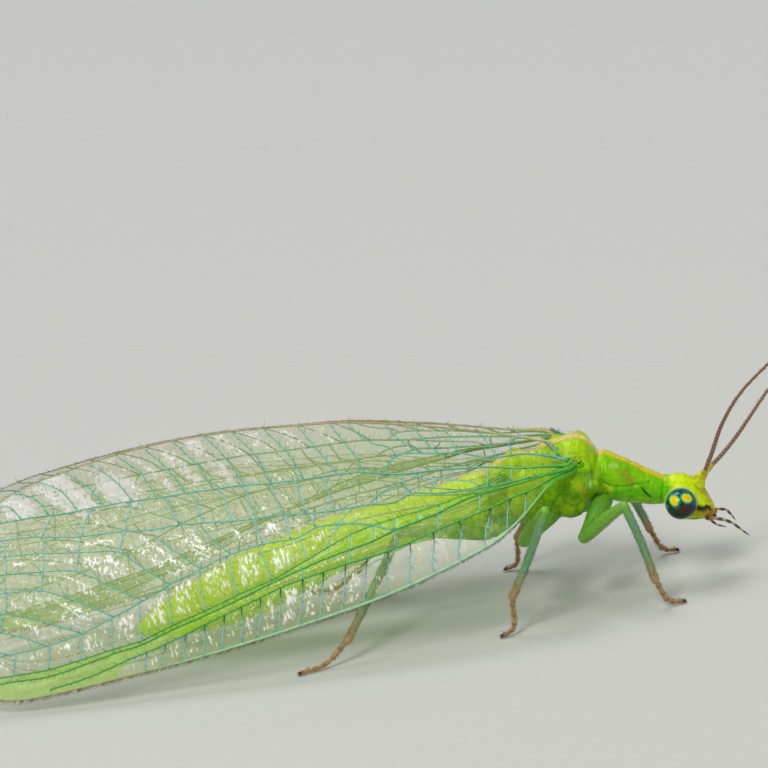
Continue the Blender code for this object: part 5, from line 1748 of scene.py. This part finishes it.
def build_leg(name, joints, side, looks, rng):
    """One leg from coxa to foot, with its hairs as a piece of their own."""
    points = np.array([mirrored(row, side) for row in joints])
    shape, hair = Shape(), Shape()
    along, path = leg_part(points[0], points[1], (0, 0, 0), LEG_POINTS["coxa"])
    coxa = between(COXA_RADII[name.split("_")[0]], ease(along, 0.1, 1.0))
    add_limb(shape, path, coxa, LEG_SIDES["coxa"], mix(COXA_GREEN, FEMUR_GREEN, along))
    along, path = leg_part(points[2], points[3], FEMUR_BOW, LEG_POINTS["femur"])
    femur = between(FEMUR_RADII, along) * (0.86 + 0.22 * np.sin(along ** 0.7 * math.pi))
    add_limb(shape, path, femur, LEG_SIDES["femur"], mix(FEMUR_GREEN, PALE_GREEN, 0.15 * along))
    add_leg_hair(hair, path, femur, "femur", rng)
    along, path = leg_part(points[3], points[4], TIBIA_BOW, LEG_POINTS["tibia"])
    swell = 0.92 + 0.16 * ease(along, 0.0, 0.15) + 0.10 * ease(along, 0.9, 1.0)
    tibia = between(TIBIA_RADII, along) * swell
    colour = mix(FEMUR_GREEN, TIBIA_TEAL, ease(along, 0.0, 0.2))
    colour = mix(colour, TARSUS_BROWN, 0.85 * ease(along, 0.62, 1.0))
    add_limb(shape, path, tibia, LEG_SIDES["tibia"], colour)
    add_leg_hair(hair, path, tibia, "tibia", rng)
    add_tarsus(shape, hair, points[4], points[5], rng)
    make_piece(f"limb_{name}", shape, [looks["leg_cuticle"]], (f"leg_{name}",))
    make_piece(f"limb_hair_{name}", hair, [looks["bristle"]])


def add_leg_hair(hair, path, radii, part, rng):
    """Hairs that lie slantwise along one part of a leg."""
    count, length, row = LEG_HAIRS[part]
    position = rng.random(count) * (len(path) - 1.001)
    index = position.astype(int)
    share = (position - index)[:, None]
    centres = path[index] * (1 - share) + path[index + 1] * share
    ahead = unit(path[index + 1] - path[index])
    outward = ways_round(ahead, rng)
    roots = centres + outward * radii[index][:, None] * 0.96
    unwrap = np.stack((0.02 + position / len(path) * 0.9, row + 0.08 * (1 + outward[:, 2])), axis=1)
    sizes = length * rng.uniform(0.6, 1.2, count)
    directions = unit(outward * 0.75 + ahead)
    bends = ahead * 0.25
    tips = roots + (directions + bends) * sizes[:, None]
    above = (roots[:, 2] > LOWEST_HAIR_ROOT) & (tips[:, 2] > LOWEST_HAIR_TIP)
    add_hairs(hair, roots[above], directions[above], sizes[above], LEG_HAIR_RADIUS, bends[above], FRINGE,
              unwrap[above])


def add_tarsus(shape, hair, ankle, tip, rng):
    """Five short parts that come down to the floor and end in two claws and a pad."""
    middle = ankle * 0.45 + tip * 0.55
    middle[2] = TARSUS_RADIUS + 0.03
    path = smooth_path((ankle, middle, tip + np.array((0, 0, TARSUS_RADIUS - 0.05))), 0.02)
    path[:, 2] = np.maximum(path[:, 2], TARSUS_RADIUS)
    edges = np.linspace(0, len(path) - 1, TARSUS_SEGMENTS + 1).astype(int)
    for index in range(TARSUS_SEGMENTS):
        part = path[edges[index]:edges[index + 1] + 1]
        along = np.linspace(0.0, 1.0, len(part))
        width = TARSUS_RADIUS * (0.74 + 0.26 * ease(along, 0.1, 0.85)) * (1.0 - 0.03 * index)
        colour = mix(TARSUS_BROWN, TARSUS_DARK, 0.7 * ease(along, 0.6, 1.0))
        add_tube(shape, part, width, LEG_SIDES["tarsus"], colour)
    add_leg_hair(hair, path, np.full(len(path), TARSUS_RADIUS), "tarsus", rng)
    add_claws(shape, path[-1], unit(path[-1] - path[-4]))


def add_claws(shape, end, ahead):
    """Two curved claws, and the pad between them that is flat against the floor."""
    for turn in (-1, 1):
        sideways = np.cross(ahead, (0, 0, 1)) * turn
        start = end + sideways * 0.015
        bend = start + ahead * 0.05 + sideways * 0.035 + np.array((0, 0, 0.012))
        point = start + ahead * 0.085 + sideways * 0.05 - np.array((0, 0, TARSUS_RADIUS * 0.75))
        path = smooth_path((start, bend, point), CLAW_STEP)
        add_tube(shape, path, np.linspace(*CLAW_RADII, len(path)), LEG_SIDES["claw"], CLAW_BROWN)
    pad = end + ahead * 0.035 - np.array((0, 0, TARSUS_RADIUS * 0.45))
    add_ellipsoid(shape, pad, (PAD_RADIUS, PAD_RADIUS, PAD_RADIUS * 0.8), CLAW_BROWN, 12, 8)


def build_wing_hinges(looks):
    """The small plates that carry the wings on the thorax."""
    shape = Shape()
    for side in SIDES.values():
        for centre, half_lengths, colour in HINGE_PLATES:
            add_ellipsoid(shape, mirrored(centre, side), half_lengths, colour)
    make_piece("wing_hinges", shape, [looks["cuticle"]])


def place_camera(camera):
    """The scene's camera, which frames the insect as the photograph does."""
    data = bpy.data.cameras.new("photo_camera")
    data.sensor_width = SENSOR_WIDTH
    data.sensor_fit = "HORIZONTAL"
    data.lens = SENSOR_WIDTH * camera.focal_px / PHOTO_SIZE
    data.clip_start = CLIP_START
    data.clip_end = CLIP_END
    holder = add_object("photo_camera", data)
    turn = Matrix((camera.right, camera.up, camera.back)).transposed().to_4x4()
    holder.matrix_world = Matrix.Translation(Vector(camera.place * MM + SHIFT)) @ turn
    bpy.context.scene.camera = holder


def make_floor():
    """The plain floor, a hair's breadth below the feet."""
    corners = [(x * FLOOR_REACH, y * FLOOR_REACH, 0) for x, y in ((-1, -1), (1, -1), (1, 1), (-1, 1))]
    mesh = bpy.data.meshes.new("floor")
    mesh.from_pydata(corners, [], [(0, 1, 2, 3)])
    material = bpy.data.materials.new("floor_matt")
    material.use_nodes = True
    shader = material.node_tree.nodes["Principled BSDF"]
    shader.inputs["Base Color"].default_value = (*FLOOR_COLOUR, 1.0)
    shader.inputs["Roughness"].default_value = FLOOR_ROUGHNESS
    shader.inputs["Specular IOR Level"].default_value = FLOOR_SPECULAR
    mesh.materials.append(material)
    floor = add_object("floor", mesh)
    floor.location.z = -FLOOR_DROP


def make_light(name, direction, distance, size, power, colour):
    """A round soft light that faces the insect."""
    data = bpy.data.lights.new(name, "AREA")
    data.shape = "DISK"
    data.size = size
    data.energy = power
    data.color = colour
    lamp = add_object(name, data)
    direction = Vector(direction).normalized()
    lamp.location = direction * distance + Vector((0.0, 0.0, 0.002))
    lamp.rotation_euler = direction.to_track_quat("Z", "Y").to_euler()


def make_lights():
    """The soft lights and the pale room round them."""
    for name, row in LIGHTS.items():
        make_light(name, *row)
    world = bpy.data.worlds.new("pale_room")
    world.use_nodes = True
    background = world.node_tree.nodes["Background"]
    background.inputs["Color"].default_value = ROOM_COLOUR
    background.inputs["Strength"].default_value = ROOM_LIGHT
    scene = bpy.context.scene
    scene.world = world
    scene.view_settings.view_transform = "Standard"
    scene.cycles.transparent_max_bounces = TRANSPARENT_BOUNCES


def main():
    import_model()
    SHIFT[:] = frame_shift()
    rng = np.random.default_rng(RANDOM_SEED)
    camera = PhotoCamera()
    looks = make_materials()
    build_skin(looks, camera, rng)
    build_eyes(looks, camera)
    build_head_parts(looks)
    build_antennae(looks, rng)
    for name, joints in LEG_JOINTS.items():
        build_leg(name, joints, SIDES[name.split("_")[-1]], looks, rng)
    build_wing_hinges(looks)
    build_wings(looks, camera, rng)
    place_camera(camera)
    make_floor()
    make_lights()


main()
